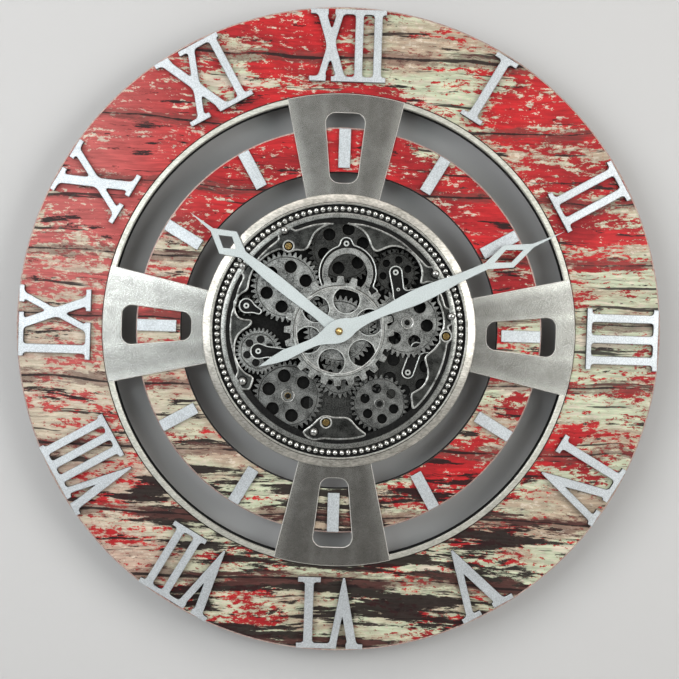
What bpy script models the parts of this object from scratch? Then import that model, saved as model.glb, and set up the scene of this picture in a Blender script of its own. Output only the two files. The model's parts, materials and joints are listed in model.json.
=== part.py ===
"""A round skeleton wall clock, 600 mm across, with a turning gear train behind its hands.

The clock faces -Y and hangs in the XZ plane. Its origin is on the hands' axis, in the wall's plane. In this
file a place on the dial is (x, z) in millimetres, and a depth is a distance from the wall in millimetres,
so a depth of 40 is the plane y = -0.040.
"""

from math import asin, atan2, cos, hypot, pi, radians, sin, sqrt

import bmesh
import bpy
import numpy as np

MM = 0.001

# Driving dimensions
CLOCK_RADIUS = 300.0
PANEL_THICK = 9.0
PANEL_FRONT = 39.0
CASE_RADIUS = 115.4
CASE_WALL = 3.0
GAP = 0.3

# How many flats the large rings have
RIM_SIDES = 72
CASE_SIDES = 48

# Rings, by radius
OUTER_PANEL_HOLE = 220.3
INNER_PANEL = (147.5, 189.0)
RIM_RING = (215.6, 220.0)
BEZEL_RADIUS = 127.0
BORDER_RADIUS = 109.6

# Layers, each a (back, front) pair of depths
REAR_COVER = (0.0, 2.5)
BACK_PLATE = (32.4, 34.2)
REAR_LAYER = (34.8, 36.6)
LOW_LAYER = (37.0, 39.0)
MAIN_LAYER = (39.4, 41.4)
BRIDGE_LAYER = (41.8, 43.4)
CENTRE_LAYER = (43.8, 46.0)
SPOKE_LAYER = (PANEL_FRONT + GAP, PANEL_FRONT + GAP + 2.0)
NUMERAL_THICK = 5.0
MARKER_THICK = 3.0
HOUR_LAYER = (47.4, 49.0)
MINUTE_LAYER = (50.2, 51.8)

# Time shown at rest, as clockwise angles from twelve
MINUTE_ANGLE = 64.4
HOUR_ANGLE = 306.8

# Gear train
MODULE = 1.65
MESH_DEPTH = 2.0  # how far two wheels' tip circles reach into each other
PITCH = pi * MODULE
TIP_WIDTH = 0.26 * PITCH
ROOT_DROP = 1.45 * MODULE
POST_RADIUS = 2.5
BORE_RADIUS = 2.9
BUSH_RADIUS = 6.4
BUSH_BORE = 6.9


# ---------------------------------------------------------------- outlines


def circle(radius, sides, centre=(0.0, 0.0)):
    """Points of a regular polygon, anticlockwise as seen from the front."""
    turns = [2 * pi * k / sides for k in range(sides)]
    return [(centre[0] + radius * cos(t), centre[1] + radius * sin(t)) for t in turns]


def arc(radius, start, end, steps, centre=(0.0, 0.0)):
    """Points along an arc, both ends included."""
    turns = [start + (end - start) * k / steps for k in range(steps + 1)]
    return [(centre[0] + radius * cos(t), centre[1] + radius * sin(t)) for t in turns]


def rectangle(x0, z0, x1, z1):
    return [(x0, z0), (x1, z0), (x1, z1), (x0, z1)]


def rotated(points, turn):
    """The points turned anticlockwise by an angle in radians."""
    c, s = cos(turn), sin(turn)
    return [(x * c - z * s, x * s + z * c) for x, z in points]


def moved(points, shift):
    return [(x + shift[0], z + shift[1]) for x, z in points]


def tip_radius(teeth):
    return MODULE * (teeth / 2 + 1)


def toothed(teeth, phase):
    """A train wheel's outline: flat-tipped teeth with a V between each two. One tooth points along phase."""
    tip = tip_radius(teeth)
    root = MODULE * teeth / 2 - ROOT_DROP
    half = TIP_WIDTH / tip / 2
    points = []
    for k in range(teeth):
        middle = phase + 2 * pi * k / teeth
        points.append((tip * cos(middle - half), tip * sin(middle - half)))
        points.append((tip * cos(middle + half), tip * sin(middle + half)))
        points.append((root * cos(middle + pi / teeth), root * sin(middle + pi / teeth)))
    return points


def coarse_teeth(teeth, tip, root, tip_share, root_share):
    """The centre wheel's outline: broad teeth with flat lands between them."""
    pitch = 2 * pi / teeth
    points = []
    for k in range(teeth):
        middle = k * pitch
        for radius, offset in (
            (root, -root_share / 2),
            (tip, -tip_share / 2),
            (tip, tip_share / 2),
            (root, root_share / 2),
        ):
            turn = middle + offset * pitch
            points.append((radius * cos(turn), radius * sin(turn)))
    return points


# ------------------------------------------------- outlines from a distance field


def blend(a, b, reach):
    """The union of two fields with a fillet where they meet."""
    near = np.clip(reach - np.abs(a - b), 0, None) / reach
    return np.minimum(a, b) - near * near * reach / 4


def blend_all(fields, reach):
    total = fields[0]
    for field in fields[1:]:
        total = blend(total, field, reach)
    return total


def disc_field(x, z, centre, radius):
    return np.hypot(x - centre[0], z - centre[1]) - radius


def bar_field(x, z, start, end, start_half, end_half):
    """A straight bar with square ends whose half-width runs from start_half to end_half."""
    run, rise = end[0] - start[0], end[1] - start[1]
    length = hypot(run, rise)
    along = ((x - start[0]) * run + (z - start[1]) * rise) / length
    across = np.abs((x - start[0]) * rise - (z - start[1]) * run) / length
    share = np.clip(along / length, 0, 1)
    half = start_half + (end_half - start_half) * share
    return np.maximum(across - half, np.maximum(-along, along - length))


def capsule_field(x, z, start, end, start_radius, end_radius):
    """A bar with round ends whose radius runs from start_radius to end_radius."""
    run, rise = end[0] - start[0], end[1] - start[1]
    share = ((x - start[0]) * run + (z - start[1]) * rise) / (run * run + rise * rise)
    share = np.clip(share, 0, 1)
    away = np.hypot(x - start[0] - share * run, z - start[1] - share * rise)
    return away - (start_radius + (end_radius - start_radius) * share)


def box_field(x, z, x0, z0, x1, z1):
    return np.maximum(np.maximum(x0 - x, x - x1), np.maximum(z0 - z, z - z1))


def crossing(a, b, value_a, value_b):
    share = value_a / (value_a - value_b)
    return (a[0] + (b[0] - a[0]) * share, a[1] + (b[1] - a[1]) * share)


def trace(field, box, step, slack):
    """The closed outlines of the region where field is negative, each thinned to within slack."""
    xs = np.arange(box[0], box[2] + step, step)
    zs = np.arange(box[1], box[3] + step, step)
    grid = field(*np.meshgrid(xs, zs, indexing="ij"))
    inside = grid < 0
    mixed = inside[:-1, :-1].astype(int) + inside[1:, :-1] + inside[1:, 1:] + inside[:-1, 1:]
    follow, points = {}, {}
    for i, j in np.argwhere((mixed > 0) & (mixed < 4)):
        corners = [(i, j), (i + 1, j), (i + 1, j + 1), (i, j + 1)]
        leaving, entering = [], []
        for k in range(4):
            a, b = corners[k], corners[(k + 1) % 4]
            if inside[a] == inside[b]:
                continue
            key = (min(a, b), max(a, b))
            place_a, place_b = (xs[a[0]], zs[a[1]]), (xs[b[0]], zs[b[1]])
            points[key] = crossing(place_a, place_b, grid[a], grid[b])
            (leaving if inside[a] else entering).append((k, key))
        for k, key in leaving:
            follow[key] = min(entering, key=lambda other: (k - other[0]) % 4)[1]
    loops = []
    while follow:
        first = next(iter(follow))
        loop, key = [], first
        while key in follow:
            loop.append(points[key])
            key = follow.pop(key)
        loops.append(thinned(loop, slack))
    return loops


def thinned(loop, slack):
    """A closed loop with only the points that keep it within slack of what it was."""
    spots = np.array(loop)
    far = int(np.argmax(np.hypot(*(spots - spots[0]).T)))
    kept = [0] + thinned_run(spots, 0, far, slack) + [far]
    kept += thinned_run(np.vstack([spots, spots[:1]]), far, len(spots), slack)
    return [tuple(spots[k]) for k in kept]


def thinned_run(spots, first, last, slack):
    """The points to keep strictly between first and last."""
    if last - first < 2:
        return []
    chord = spots[last] - spots[first]
    rest = spots[first + 1 : last] - spots[first]
    away = np.abs(rest[:, 0] * chord[1] - rest[:, 1] * chord[0]) / max(hypot(*chord), 1e-9)
    worst = first + 1 + int(np.argmax(away))
    if away.max() < slack:
        return []
    before = thinned_run(spots, first, worst, slack)
    after = thinned_run(spots, worst, last, slack)
    return before + [worst] + after


# ------------------------------------------------------------------ solids


def ring(mesh, points, depth):
    return [mesh.verts.new((x * MM, -depth * MM, z * MM)) for x, z in points]


def wall(mesh, a, b):
    """Quads between two rings of as many points."""
    for k in range(len(a)):
        after = (k + 1) % len(a)
        mesh.faces.new((a[k], a[after], b[after], b[k]))


def cap(mesh, rings):
    """A flat face bounded by the first ring, with the other rings as holes in it."""
    edges = []
    for loop in rings:
        for k in range(len(loop)):
            pair = (loop[k - 1], loop[k])
            edges.append(mesh.edges.get(pair) or mesh.edges.new(pair))
    bmesh.ops.triangle_fill(mesh, edges=edges, use_beauty=True, normal=(0, -1, 0))


def finished(name, mesh, material, at=(0.0, 0.0)):
    """An object of the mesh, with its origin on the axis through the dial point at."""
    bmesh.ops.recalc_face_normals(mesh, faces=mesh.faces[:])
    data = bpy.data.meshes.new(name)
    mesh.to_mesh(data)
    mesh.free()
    data.shade_smooth()
    data.set_sharp_from_angle(angle=radians(30))
    obj = bpy.data.objects.new(name, data)
    obj.location = (at[0] * MM, 0, at[1] * MM)
    bpy.context.collection.objects.link(obj)
    if material is not None:
        data.materials.append(material)
    return obj


def prism(name, outlines, layer, material, at=(0.0, 0.0), posts=()):
    """Outlines extruded over a layer. A post is (x, z, radius, depth of its end), in front of or behind it."""
    mesh = bmesh.new()
    back, front = layer
    back_rings = [ring(mesh, points, back) for points in outlines]
    front_rings = [ring(mesh, points, front) for points in outlines]
    for a, b in zip(back_rings, front_rings):
        wall(mesh, a, b)
    for x, z, radius, end in posts:
        foot, rings = (front, front_rings) if end > front else (back, back_rings)
        points = circle(radius, 8, (x, z))
        base = ring(mesh, points, foot)
        top = ring(mesh, points, end)
        wall(mesh, base, top)
        mesh.faces.new(top)
        rings.append(base)
    cap(mesh, back_rings)
    cap(mesh, front_rings)
    return finished(name, mesh, material, at)


def turned(name, profile, sides, material, at=(0.0, 0.0)):
    """A closed profile of (radius, depth) points turned about the axis through the dial point at."""
    mesh = bmesh.new()
    rings = []
    for radius, depth in profile:
        if radius == 0:
            rings.append([mesh.verts.new((0, -depth * MM, 0))] * sides)
        else:
            rings.append(ring(mesh, circle(radius, sides), depth))
    for a, b in zip(rings, rings[1:] + rings[:1]):
        for k in range(sides):
            after = (k + 1) % sides
            corners = list(dict.fromkeys((a[k], a[after], b[after], b[k])))
            if len(corners) > 2:
                mesh.faces.new(corners)
    return finished(name, mesh, material, at)


def block(name, x0, z0, x1, z1, layer, material=None):
    return prism(name, [rectangle(x0, z0, x1, z1)], layer, material)


def combine(obj, other, operation):
    """Adds a Boolean with a hidden helper object."""
    other.hide_render = True
    other.display_type = "WIRE"
    modifier = obj.modifiers.new(f"{operation.lower()} {other.name}", "BOOLEAN")
    modifier.operation = operation
    modifier.solver = "EXACT"
    modifier.object = other


def material_of(name, colour, roughness, metallic):
    material = bpy.data.materials.new(name)
    material.use_nodes = True
    shader = material.node_tree.nodes["Principled BSDF"]
    shader.inputs["Base Color"].default_value = (*colour, 1)
    shader.inputs["Roughness"].default_value = roughness
    shader.inputs["Metallic"].default_value = metallic
    return material


# -------------------------------------------------------------- gear train


def beside(centre, direction, teeth, other_teeth):
    """The centre of a wheel in mesh with the one at centre, in a direction given in degrees."""
    distance = tip_radius(teeth) + tip_radius(other_teeth) - MESH_DEPTH
    turn = radians(direction)
    return (centre[0] + distance * cos(turn), centre[1] + distance * sin(turn))


def meshed_phase(centre, teeth, phase, other_centre, other_teeth):
    """The phase that puts the other wheel's tooth spaces on the first wheel's teeth."""
    line = atan2(other_centre[1] - centre[1], other_centre[0] - centre[0])
    share = (phase - line) / (2 * pi / teeth)
    return line + pi - (share + 0.5) * 2 * pi / other_teeth


WHEEL_TEETH = 38
CENTRE_PINION_TEETH = 29
IDLER_TEETH = 22
RIGHT_PINION_TEETH = 17
MOTOR_TEETH = 10
FAR_LEFT_TEETH = 10
LOWER_RIGHT_TEETH = 31
UPPER_RIGHT_TEETH = 25
LEFT_PINION_TEETH = 21

CENTRE = (0.0, 0.0)
UPPER_LEFT = beside(CENTRE, 141.8, WHEEL_TEETH, WHEEL_TEETH)
TOP = beside(UPPER_LEFT, 35.4, WHEEL_TEETH, WHEEL_TEETH)
UPPER_RIGHT = beside(TOP, 337.2, WHEEL_TEETH, UPPER_RIGHT_TEETH)
FAR_LEFT = beside(UPPER_LEFT, 207.2, WHEEL_TEETH, FAR_LEFT_TEETH)
RIGHT = beside(CENTRE, 8.8, WHEEL_TEETH, WHEEL_TEETH)
REAR = beside(RIGHT, 272.8, RIGHT_PINION_TEETH, WHEEL_TEETH)
MOTOR = beside(REAR, 200.0, WHEEL_TEETH, MOTOR_TEETH)
IDLER = beside(CENTRE, 272.0, CENTRE_PINION_TEETH, IDLER_TEETH)
LOWER_LEFT = beside(IDLER, 201.5, IDLER_TEETH, WHEEL_TEETH)
LOWER_RIGHT = beside(IDLER, 328.5, IDLER_TEETH, LOWER_RIGHT_TEETH)
LEFT = beside(LOWER_LEFT, 125.0, WHEEL_TEETH, LEFT_PINION_TEETH)


def hole_ring(count, radius, at_radius, first, sides):
    """Outlines of equal round holes on a circle. The first is at an angle in degrees."""
    turns = [radians(first) + 2 * pi * k / count for k in range(count)]
    return [circle(radius, sides, (at_radius * cos(t), at_radius * sin(t))) for t in turns]


def plain_wheel(name, centre, teeth, phase, layer, holes, material):
    """A flat wheel that turns on a post."""
    outlines = [toothed(teeth, phase)] + holes + [circle(BORE_RADIUS, 12)]
    return prism(name, outlines, layer, material, centre)


def wheel_and_pinion(name, centre, wheel, wheel_layer, pinion, pinion_layer, bore, material):
    """A wheel with a pinion behind it on one hub, bored through."""
    middle = sum(wheel_layer) / 2
    body = prism(name, wheel, wheel_layer, material, centre)
    lower = prism(f"{name}_pinion", [pinion], (pinion_layer[0], middle), None, centre)
    combine(body, lower, "UNION")
    drill = prism(f"{name}_bore", [circle(bore, 16)], (30, 50), None, centre)
    combine(body, drill, "DIFFERENCE")
    return body


def make_train(silver, dark_silver):
    """The wheels that turn, each in mesh with its neighbours at rest."""
    n = WHEEL_TEETH
    under = radians(4.0)
    upper_left = meshed_phase(CENTRE, n, under, UPPER_LEFT, n)
    top = meshed_phase(UPPER_LEFT, n, upper_left, TOP, n)
    upper_right = meshed_phase(TOP, n, top, UPPER_RIGHT, UPPER_RIGHT_TEETH)
    far_left = meshed_phase(UPPER_LEFT, n, upper_left, FAR_LEFT, FAR_LEFT_TEETH)
    right = meshed_phase(CENTRE, n, under, RIGHT, n)
    right_pinion = radians(10.0)
    rear = meshed_phase(RIGHT, RIGHT_PINION_TEETH, right_pinion, REAR, n)
    motor = meshed_phase(REAR, n, rear, MOTOR, MOTOR_TEETH)
    under_pinion = radians(3.0)
    idler = meshed_phase(CENTRE, CENTRE_PINION_TEETH, under_pinion, IDLER, IDLER_TEETH)
    lower_left = meshed_phase(IDLER, IDLER_TEETH, idler, LOWER_LEFT, n)
    lower_right = meshed_phase(IDLER, IDLER_TEETH, idler, LOWER_RIGHT, LOWER_RIGHT_TEETH)
    left_pinion = meshed_phase(LOWER_LEFT, n, lower_left, LEFT, LEFT_PINION_TEETH)

    plain_wheel("upper_left_wheel", UPPER_LEFT, n, upper_left, MAIN_LAYER,
                hole_ring(6, 5.8, 19.0, 19, 8), silver)  # fmt: skip
    thick = (LOW_LAYER[0], MAIN_LAYER[1])
    plain_wheel("top_wheel", TOP, n, top, thick, hole_ring(6, 5.8, 18.6, 17, 8), dark_silver)
    plain_wheel("upper_right_wheel", UPPER_RIGHT, UPPER_RIGHT_TEETH, upper_right, LOW_LAYER,
                hole_ring(6, 3.5, 12.0, 17, 8), dark_silver)  # fmt: skip
    plain_wheel("far_left_pinion", FAR_LEFT, FAR_LEFT_TEETH, far_left, MAIN_LAYER, [], dark_silver)
    plain_wheel("rear_wheel", REAR, n, rear, REAR_LAYER, hole_ring(6, 6.0, 18.0, 20, 8), dark_silver)
    plain_wheel("idler_wheel", IDLER, IDLER_TEETH, idler, LOW_LAYER, [], silver)
    plain_wheel("lower_left_wheel", LOWER_LEFT, n, lower_left, LOW_LAYER,
                hole_ring(6, 6.0, 18.9, 42, 8), silver)  # fmt: skip
    plain_wheel("lower_right_wheel", LOWER_RIGHT, LOWER_RIGHT_TEETH, lower_right, LOW_LAYER,
                hole_ring(6, 4.5, 14.3, 42, 8), silver)  # fmt: skip

    wheel_and_pinion(
        "right_wheel", RIGHT, [toothed(n, right)] + hole_ring(6, 5.8, 18.6, 53, 8), MAIN_LAYER,
        toothed(RIGHT_PINION_TEETH, right_pinion), REAR_LAYER, BORE_RADIUS, silver,
    )  # fmt: skip
    wheel_and_pinion(
        "under_wheel", CENTRE, [toothed(n, under)] + hole_ring(6, 4.6, 20.5, 48, 8), MAIN_LAYER,
        toothed(CENTRE_PINION_TEETH, under_pinion), LOW_LAYER, BUSH_BORE, silver,
    )  # fmt: skip
    fine = coarse_teeth(32, 21.7, 18.9, 0.3, 0.8)
    wheel_and_pinion(
        "left_wheel", LEFT, [fine] + hole_ring(6, 3.6, 11.0, 20, 8), MAIN_LAYER,
        toothed(LEFT_PINION_TEETH, left_pinion), LOW_LAYER, BORE_RADIUS, silver,
    )  # fmt: skip
    motor_shaft = (0, 0, 1.4, BACK_PLATE[0])
    prism("motor_pinion", [toothed(MOTOR_TEETH, motor)], REAR_LAYER, silver, MOTOR, [motor_shaft])


def make_centre_wheel(material):
    """The broad front wheel, on a hub that stands on the under wheel."""
    outline = coarse_teeth(24, 51.0, 45.2, 0.40, 0.62)
    holes = hole_ring(6, 12.0, 29.5, 18, 14)
    wheel = prism("centre_wheel", [outline] + holes, CENTRE_LAYER, material)
    hub_layer = (MAIN_LAYER[1] + GAP, sum(CENTRE_LAYER) / 2)
    combine(wheel, prism("centre_hub", [circle(11.0, 16)], hub_layer, None), "UNION")
    combine(wheel, prism("centre_bore", [circle(BUSH_BORE, 24)], (40, 50), None), "DIFFERENCE")


# ----------------------------------------------------- plates and bridges

ARCH_CENTRE = (6.4, 53.8)
ARCH_FEET = ((-14.5, 33.5), (31.0, 37.0))
LEFT_COCK_FOOT = (-41.0, -23.0)
UPPER_RIGHT_COCK = ((57.0, 34.0), (84.0, 40.0))
REAR_COCK = ((73.0, -14.0), (94.0, -14.0))
BORDER_SCREWS = ((-53.6, 91.8), (-91.3, 57.6), (-88.3, -49.4), (-20.5, -94.5), (88.1, 55.9), (104.0, 16.7))


def make_back_plate(material):
    """The dark plate behind the train, with the posts that the wheels turn on and the bridges stand on."""
    low, main = LOW_LAYER[1] + 0.2, MAIN_LAYER[1] + 0.6
    under_bridge = BRIDGE_LAYER[0] - GAP
    posts = [(*UPPER_LEFT, main), (*RIGHT, main), (*FAR_LEFT, main), (*LEFT, under_bridge),
             (*TOP, under_bridge), (*UPPER_RIGHT, under_bridge), (*IDLER, low), (*LOWER_LEFT, main),
             (*LOWER_RIGHT, main), (*REAR, LOW_LAYER[0] - GAP), (*REAR_COCK[1], LOW_LAYER[0] - GAP)]  # fmt: skip
    feet = ARCH_FEET + BORDER_SCREWS + (LEFT_COCK_FOOT, UPPER_RIGHT_COCK[1])
    posts += [(*foot, under_bridge) for foot in feet]
    posts = [(x, z, POST_RADIUS, end) for x, z, end in posts]
    radius = CASE_RADIUS - CASE_WALL - GAP
    outlines = [circle(radius, CASE_SIDES), circle(BUSH_BORE, 24), circle(2.4, 12, MOTOR)]
    prism("back_plate", outlines, BACK_PLATE, material, posts=posts)


def border_field(x, z):
    """Negative on the ring that frames the train. Its inner edge follows the wheels in wide scallops."""
    wheels = ((UPPER_LEFT, 34.6), (UPPER_RIGHT, 24.0), (RIGHT, 34.6), (LOWER_RIGHT, 29.5),
              (LOWER_LEFT, 34.8), (LEFT, 23.4), (FAR_LEFT, 12.5), (REAR, 33.0))  # fmt: skip
    openings = [disc_field(x, z, CENTRE, 80.0)]
    openings += [disc_field(x, z, centre, radius) for centre, radius in wheels]
    openings.append(disc_field(x, z, (TOP[0] - 3.0, TOP[1] - 3.0), 28.5))
    openings.append(disc_field(x, z, UPPER_RIGHT_COCK[1], 8.0))
    opening = np.maximum(blend_all(openings, 7.0), disc_field(x, z, CENTRE, 107.2))
    return np.maximum(disc_field(x, z, CENTRE, BORDER_RADIUS), -opening)


def make_border_plate(material):
    half = BORDER_RADIUS + 2
    outlines = trace(border_field, (-half, -half, half, half), 0.8, 0.25)
    prism("border_plate", outlines, BRIDGE_LAYER, material)


def arch_field(x, z):
    """An open arch with a round boss on its crown and a foot at each end."""
    away = np.hypot(x - ARCH_CENTRE[0], z - ARCH_CENTRE[1])
    band = np.maximum(away - 27.0, 18.2 - away)
    band = np.maximum(band, ARCH_CENTRE[1] - 16.0 - z)
    boss = disc_field(x, z, (ARCH_CENTRE[0] - 2.0, ARCH_CENTRE[1] + 27.5), 6.2)
    feet = [disc_field(x, z, foot, 4.2) for foot in ARCH_FEET]
    return blend_all([band, boss] + feet, 3.0)


def left_cock_field(x, z):
    """Pear shaped: wide round the wheel's pin, narrow at its foot."""
    head = disc_field(x, z, LEFT, 7.0)
    stem = capsule_field(x, z, LEFT, LEFT_COCK_FOOT, 6.0, 4.2)
    return blend(head, stem, 4.0)


def upper_right_cock_field(x, z):
    elbow, foot = UPPER_RIGHT_COCK
    finger = capsule_field(x, z, UPPER_RIGHT, elbow, 5.4, 5.8)
    return blend(finger, capsule_field(x, z, elbow, foot, 4.6, 4.2), 4.0)


def rear_cock_field(x, z):
    elbow, foot = REAR_COCK
    finger = capsule_field(x, z, REAR, elbow, 6.0, 5.6)
    return blend(finger, capsule_field(x, z, elbow, foot, 4.6, 4.2), 4.0)


def make_bridges(material):
    """The arch over the top wheel and the cocks that cover three wheels' pins."""
    everywhere = (-110, -110, 110, 110)
    for name, field, layer in (
        ("arch_bridge", arch_field, BRIDGE_LAYER),
        ("left_cock", left_cock_field, BRIDGE_LAYER),
        ("upper_right_cock", upper_right_cock_field, BRIDGE_LAYER),
        ("rear_cock", rear_cock_field, LOW_LAYER),
    ):
        prism(name, trace(field, everywhere, 0.7, 0.2), layer, material)


# --------------------------------------------------------- rings and frame

SPOKE_WINDOW = (137.5, 202.0)


def spoke_half_width(along):
    """Half a spoke's width at a distance from the axis: it flares outwards."""
    return 35.0 + (56.0 - 35.0) * (along - BEZEL_RADIUS) / (RIM_RING[1] - BEZEL_RADIUS)


def spoke_edge_angle(radius):
    """The angle from a spoke's middle line to its edge, on a circle."""
    along = radius
    for _ in range(20):
        along = sqrt(radius**2 - spoke_half_width(along) ** 2)
    return asin(spoke_half_width(along) / radius)


def window_half_width(along):
    inner, outer = SPOKE_WINDOW
    return 13.3 + (18.2 - 13.3) * (along - inner) / (outer - inner)


def spoke_window():
    """The window of the spoke that points along +X: a trapezoid with round corners."""
    corner = 7.5
    inner, outer = SPOKE_WINDOW
    points = []
    for end, side, start in ((outer, 1, 0), (inner, 1, 1), (inner, -1, 2), (outer, -1, 3)):
        x = end - corner if end == outer else end + corner
        z = side * (window_half_width(end) - corner)
        points += arc(corner, start * pi / 2, (start + 1) * pi / 2, 3, (x, z))
    return points


def make_spoke_frame(material):
    """Four flared spokes between a hub ring and a deep rim ring, whose back flange carries the outer panel."""
    hub_inner, hub_outer = CASE_RADIUS - CASE_WALL + 0.2, 125.0
    rim_inner, rim_outer = RIM_RING
    outlines = [circle(rim_outer, RIM_SIDES), circle(hub_inner, CASE_SIDES)]
    for quarter in range(4):
        start = quarter * pi / 2
        far, near = spoke_edge_angle(rim_inner), spoke_edge_angle(hub_outer)
        outlines.append(
            arc(rim_inner, start + far, start + pi / 2 - far, 12)
            + arc(hub_outer, start + pi / 2 - near, start + near, 7)
        )
        outlines.append(rotated(spoke_window(), start))
    frame = prism("spoke_frame", outlines, SPOKE_LAYER, material)
    top = sum(SPOKE_LAYER) / 2
    flange = (27.4, PANEL_FRONT - PANEL_THICK - GAP)
    profile = [
        (236.0, flange[0]), (236.0, flange[1]), (rim_outer - 0.3, flange[1]), (rim_outer - 0.3, top),
        (rim_inner + 0.8, top), (rim_inner + 0.8, flange[0]),
    ]  # fmt: skip
    combine(frame, turned("rim_wall", profile, RIM_SIDES, None), "UNION")


def annulus(name, inner, outer, sides, layer, material):
    prism(name, [circle(outer, sides), circle(inner, sides)], layer, material)


def make_panels(material):
    layer = (PANEL_FRONT - PANEL_THICK, PANEL_FRONT)
    annulus("outer_panel", OUTER_PANEL_HOLE, CLOCK_RADIUS, RIM_SIDES, layer, material)
    annulus("inner_panel", *INNER_PANEL, CASE_SIDES, layer, material)


def make_bezel(material):
    """The sloped bright ring, with a lower track inside it for its beads."""
    base = SPOKE_LAYER[1] + 0.4
    inner = BORDER_RADIUS + 0.4
    profile = [
        (BEZEL_RADIUS, base), (BEZEL_RADIUS, 44.6), (125.8, 45.6), (118.8, 46.8), (117.6, 46.2),
        (117.6, 43.6), (inner, 43.6), (inner, base),
    ]  # fmt: skip
    turned("bezel_ring", profile, CASE_SIDES, material)


# -------------------------------------------------- numerals and markers

NUMERAL_FOOT = 230.5
NUMERAL_HEIGHT = 66.5
SLAB = 4.6
STEM = 7.5
POINT_HALF = 0.9  # half the width of a V's point

# Each numeral's strokes as (x at the top, x at the foot, width), and its slabs as (x0, x1), along the dial.
NUMERALS = (
    (((0, 0, 8.4),), ((-11.3, 11.3),), ((-11.0, 11.0),)),
    (((-10.4, -10.4, 7.4), (10.4, 10.4, 7.4)), ((-20.3, 20.3),), ((-20.3, 20.3),)),
    (((-19.6, -19.6, STEM), (0, 0, STEM), (19.6, 19.6, STEM)), ((-28.5, 28.5),), ((-28.5, 28.5),)),
    (((-20.5, -20.5, 8.0), (-3.5, 12.5, 8.2), (25.5, 12.5, 6.8)), ((-30.5, 4.5), (15.0, 30.8)), ((-29.5, -11.2),)),
    (((-14.5, 4.2, 9.6), (19.0, 4.2, 7.0)), ((-26.2, -5.4), (7.4, 26.4)), ()),
    (((-22.0, -12.0, 8.6), (-2.5, -12.0, 6.8), (20.2, 20.2, 8.2)), ((-31.0, -15.6), (-5.0, 31.0)), ((9.6, 30.8),)),
    (((-27.5, -17.5, 8.6), (-8.0, -17.5, 6.6), (9.5, 9.5, 7.4), (27.5, 27.5, 7.4)),
     ((-36.8, -20.6), (-12.6, 36.0)), ((1.5, 36.8),)),
    (((-28.0, -20.5, 8.0), (-10.8, -20.5, 6.0), (0.8, 0.8, STEM), (15.5, 15.5, STEM), (30.3, 30.3, STEM)),
     ((-36.0, -24.5), (-18.5, 36.4)), ((-7.2, 36.4),)),
    (((-24.5, -24.5, 8.0), (-3.0, 21.5, 8.8), (26.5, -7.0, 6.6)), ((-32.0, 8.8), (18.2, 34.0)),
     ((-34.0, 0.6), (11.0, 31.2))),
    (((-17.2, 14.0, 9.4), (16.0, -16.4, 7.2)), ((-28.6, -5.2), (6.0, 24.8)), ((-26.2, -6.0), (3.0, 25.0))),
    (((-26.5, 6.0, 8.8), (3.4, -20.0, 6.8), (24.0, 24.0, 7.4)), ((-34.6, -20.0), (-9.6, 30.6)),
     ((-30.6, -10.2), (-0.6, 34.2))),
    (((-25.5, -5.0, 8.4), (-6.5, -25.0, 6.4), (10.3, 10.3, 7.4), (27.7, 27.7, 7.4)),
     ((-35.0, -18.8), (-12.2, 35.2)), ((-35.0, -19.8), (-14.8, 35.6))),
)  # fmt: skip


def point_field(x, z, left, right):
    """The two strokes of a V, whose outer edges meet in a point at the foot."""
    (left_top, foot, left_width), (right_top, _, right_width) = left, right
    share = z / NUMERAL_HEIGHT
    left_edge = foot - POINT_HALF + (left_top - left_width / 2 - foot + POINT_HALF) * share
    right_edge = foot + POINT_HALF + (right_top + right_width / 2 - foot - POINT_HALF) * share
    outside = np.maximum(left_edge - x, x - right_edge)
    return np.maximum(outside, np.minimum(x - left_edge - left_width, right_edge - right_width - x))


def numeral_field(number):
    """The field of a numeral that stands on z = 0, with fillets where strokes and slabs meet."""
    strokes, top_slabs, foot_slabs = NUMERALS[number - 1]
    upper = NUMERAL_HEIGHT
    points = [pair for pair in zip(strokes, strokes[1:]) if pair[0][1] == pair[1][1]]
    stems = [stroke for stroke in strokes if all(stroke not in pair for pair in points)]

    def field(x, z):
        parts = [point_field(x, z, left, right) for left, right in points]
        for top, foot, width in stems:
            lean = cos(atan2(top - foot, upper))
            half = width / 2 * (lean if abs(top - foot) > 1 else 1.0)
            parts.append(bar_field(x, z, (foot, 0.2), (top, upper - 0.2), half, half))
        for x0, x1 in top_slabs:
            parts.append(box_field(x, z, x0, upper - SLAB, x1, upper))
        for x0, x1 in foot_slabs:
            parts.append(box_field(x, z, x0, 0.0, x1, SLAB))
        return np.maximum(blend_all(parts, 3.2), box_field(x, z, -60, 0, 60, upper))

    return field


def make_numerals(material):
    """I to XII, each with its top outwards."""
    layer = (PANEL_FRONT + GAP, PANEL_FRONT + GAP + NUMERAL_THICK)
    for number in range(1, 13):
        loops = trace(numeral_field(number), (-42, -3, 42, NUMERAL_HEIGHT + 3), 0.5, 0.3)
        turn = -radians(30 * number)
        loops = [rotated(moved(loop, (0, NUMERAL_FOOT)), turn) for loop in loops]
        prism(f"numeral_{number:02d}", loops, layer, material)


def make_markers(material):
    """A bar for each hour on the inner panel."""
    layer = (PANEL_FRONT + GAP, PANEL_FRONT + GAP + MARKER_THICK)
    for number in range(1, 13):
        outline = rotated(rectangle(-5.5, 151.3, 5.5, 187.8), -radians(30 * number))
        prism(f"marker_{number:02d}", [outline], layer, material)


# ------------------------------------------------------------------ hands


def mirrored(side):
    """A closed outline from the points of its right side, tip first."""
    left = [(-x, z) for x, z in reversed(side) if x > 0]
    return side + left


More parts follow.
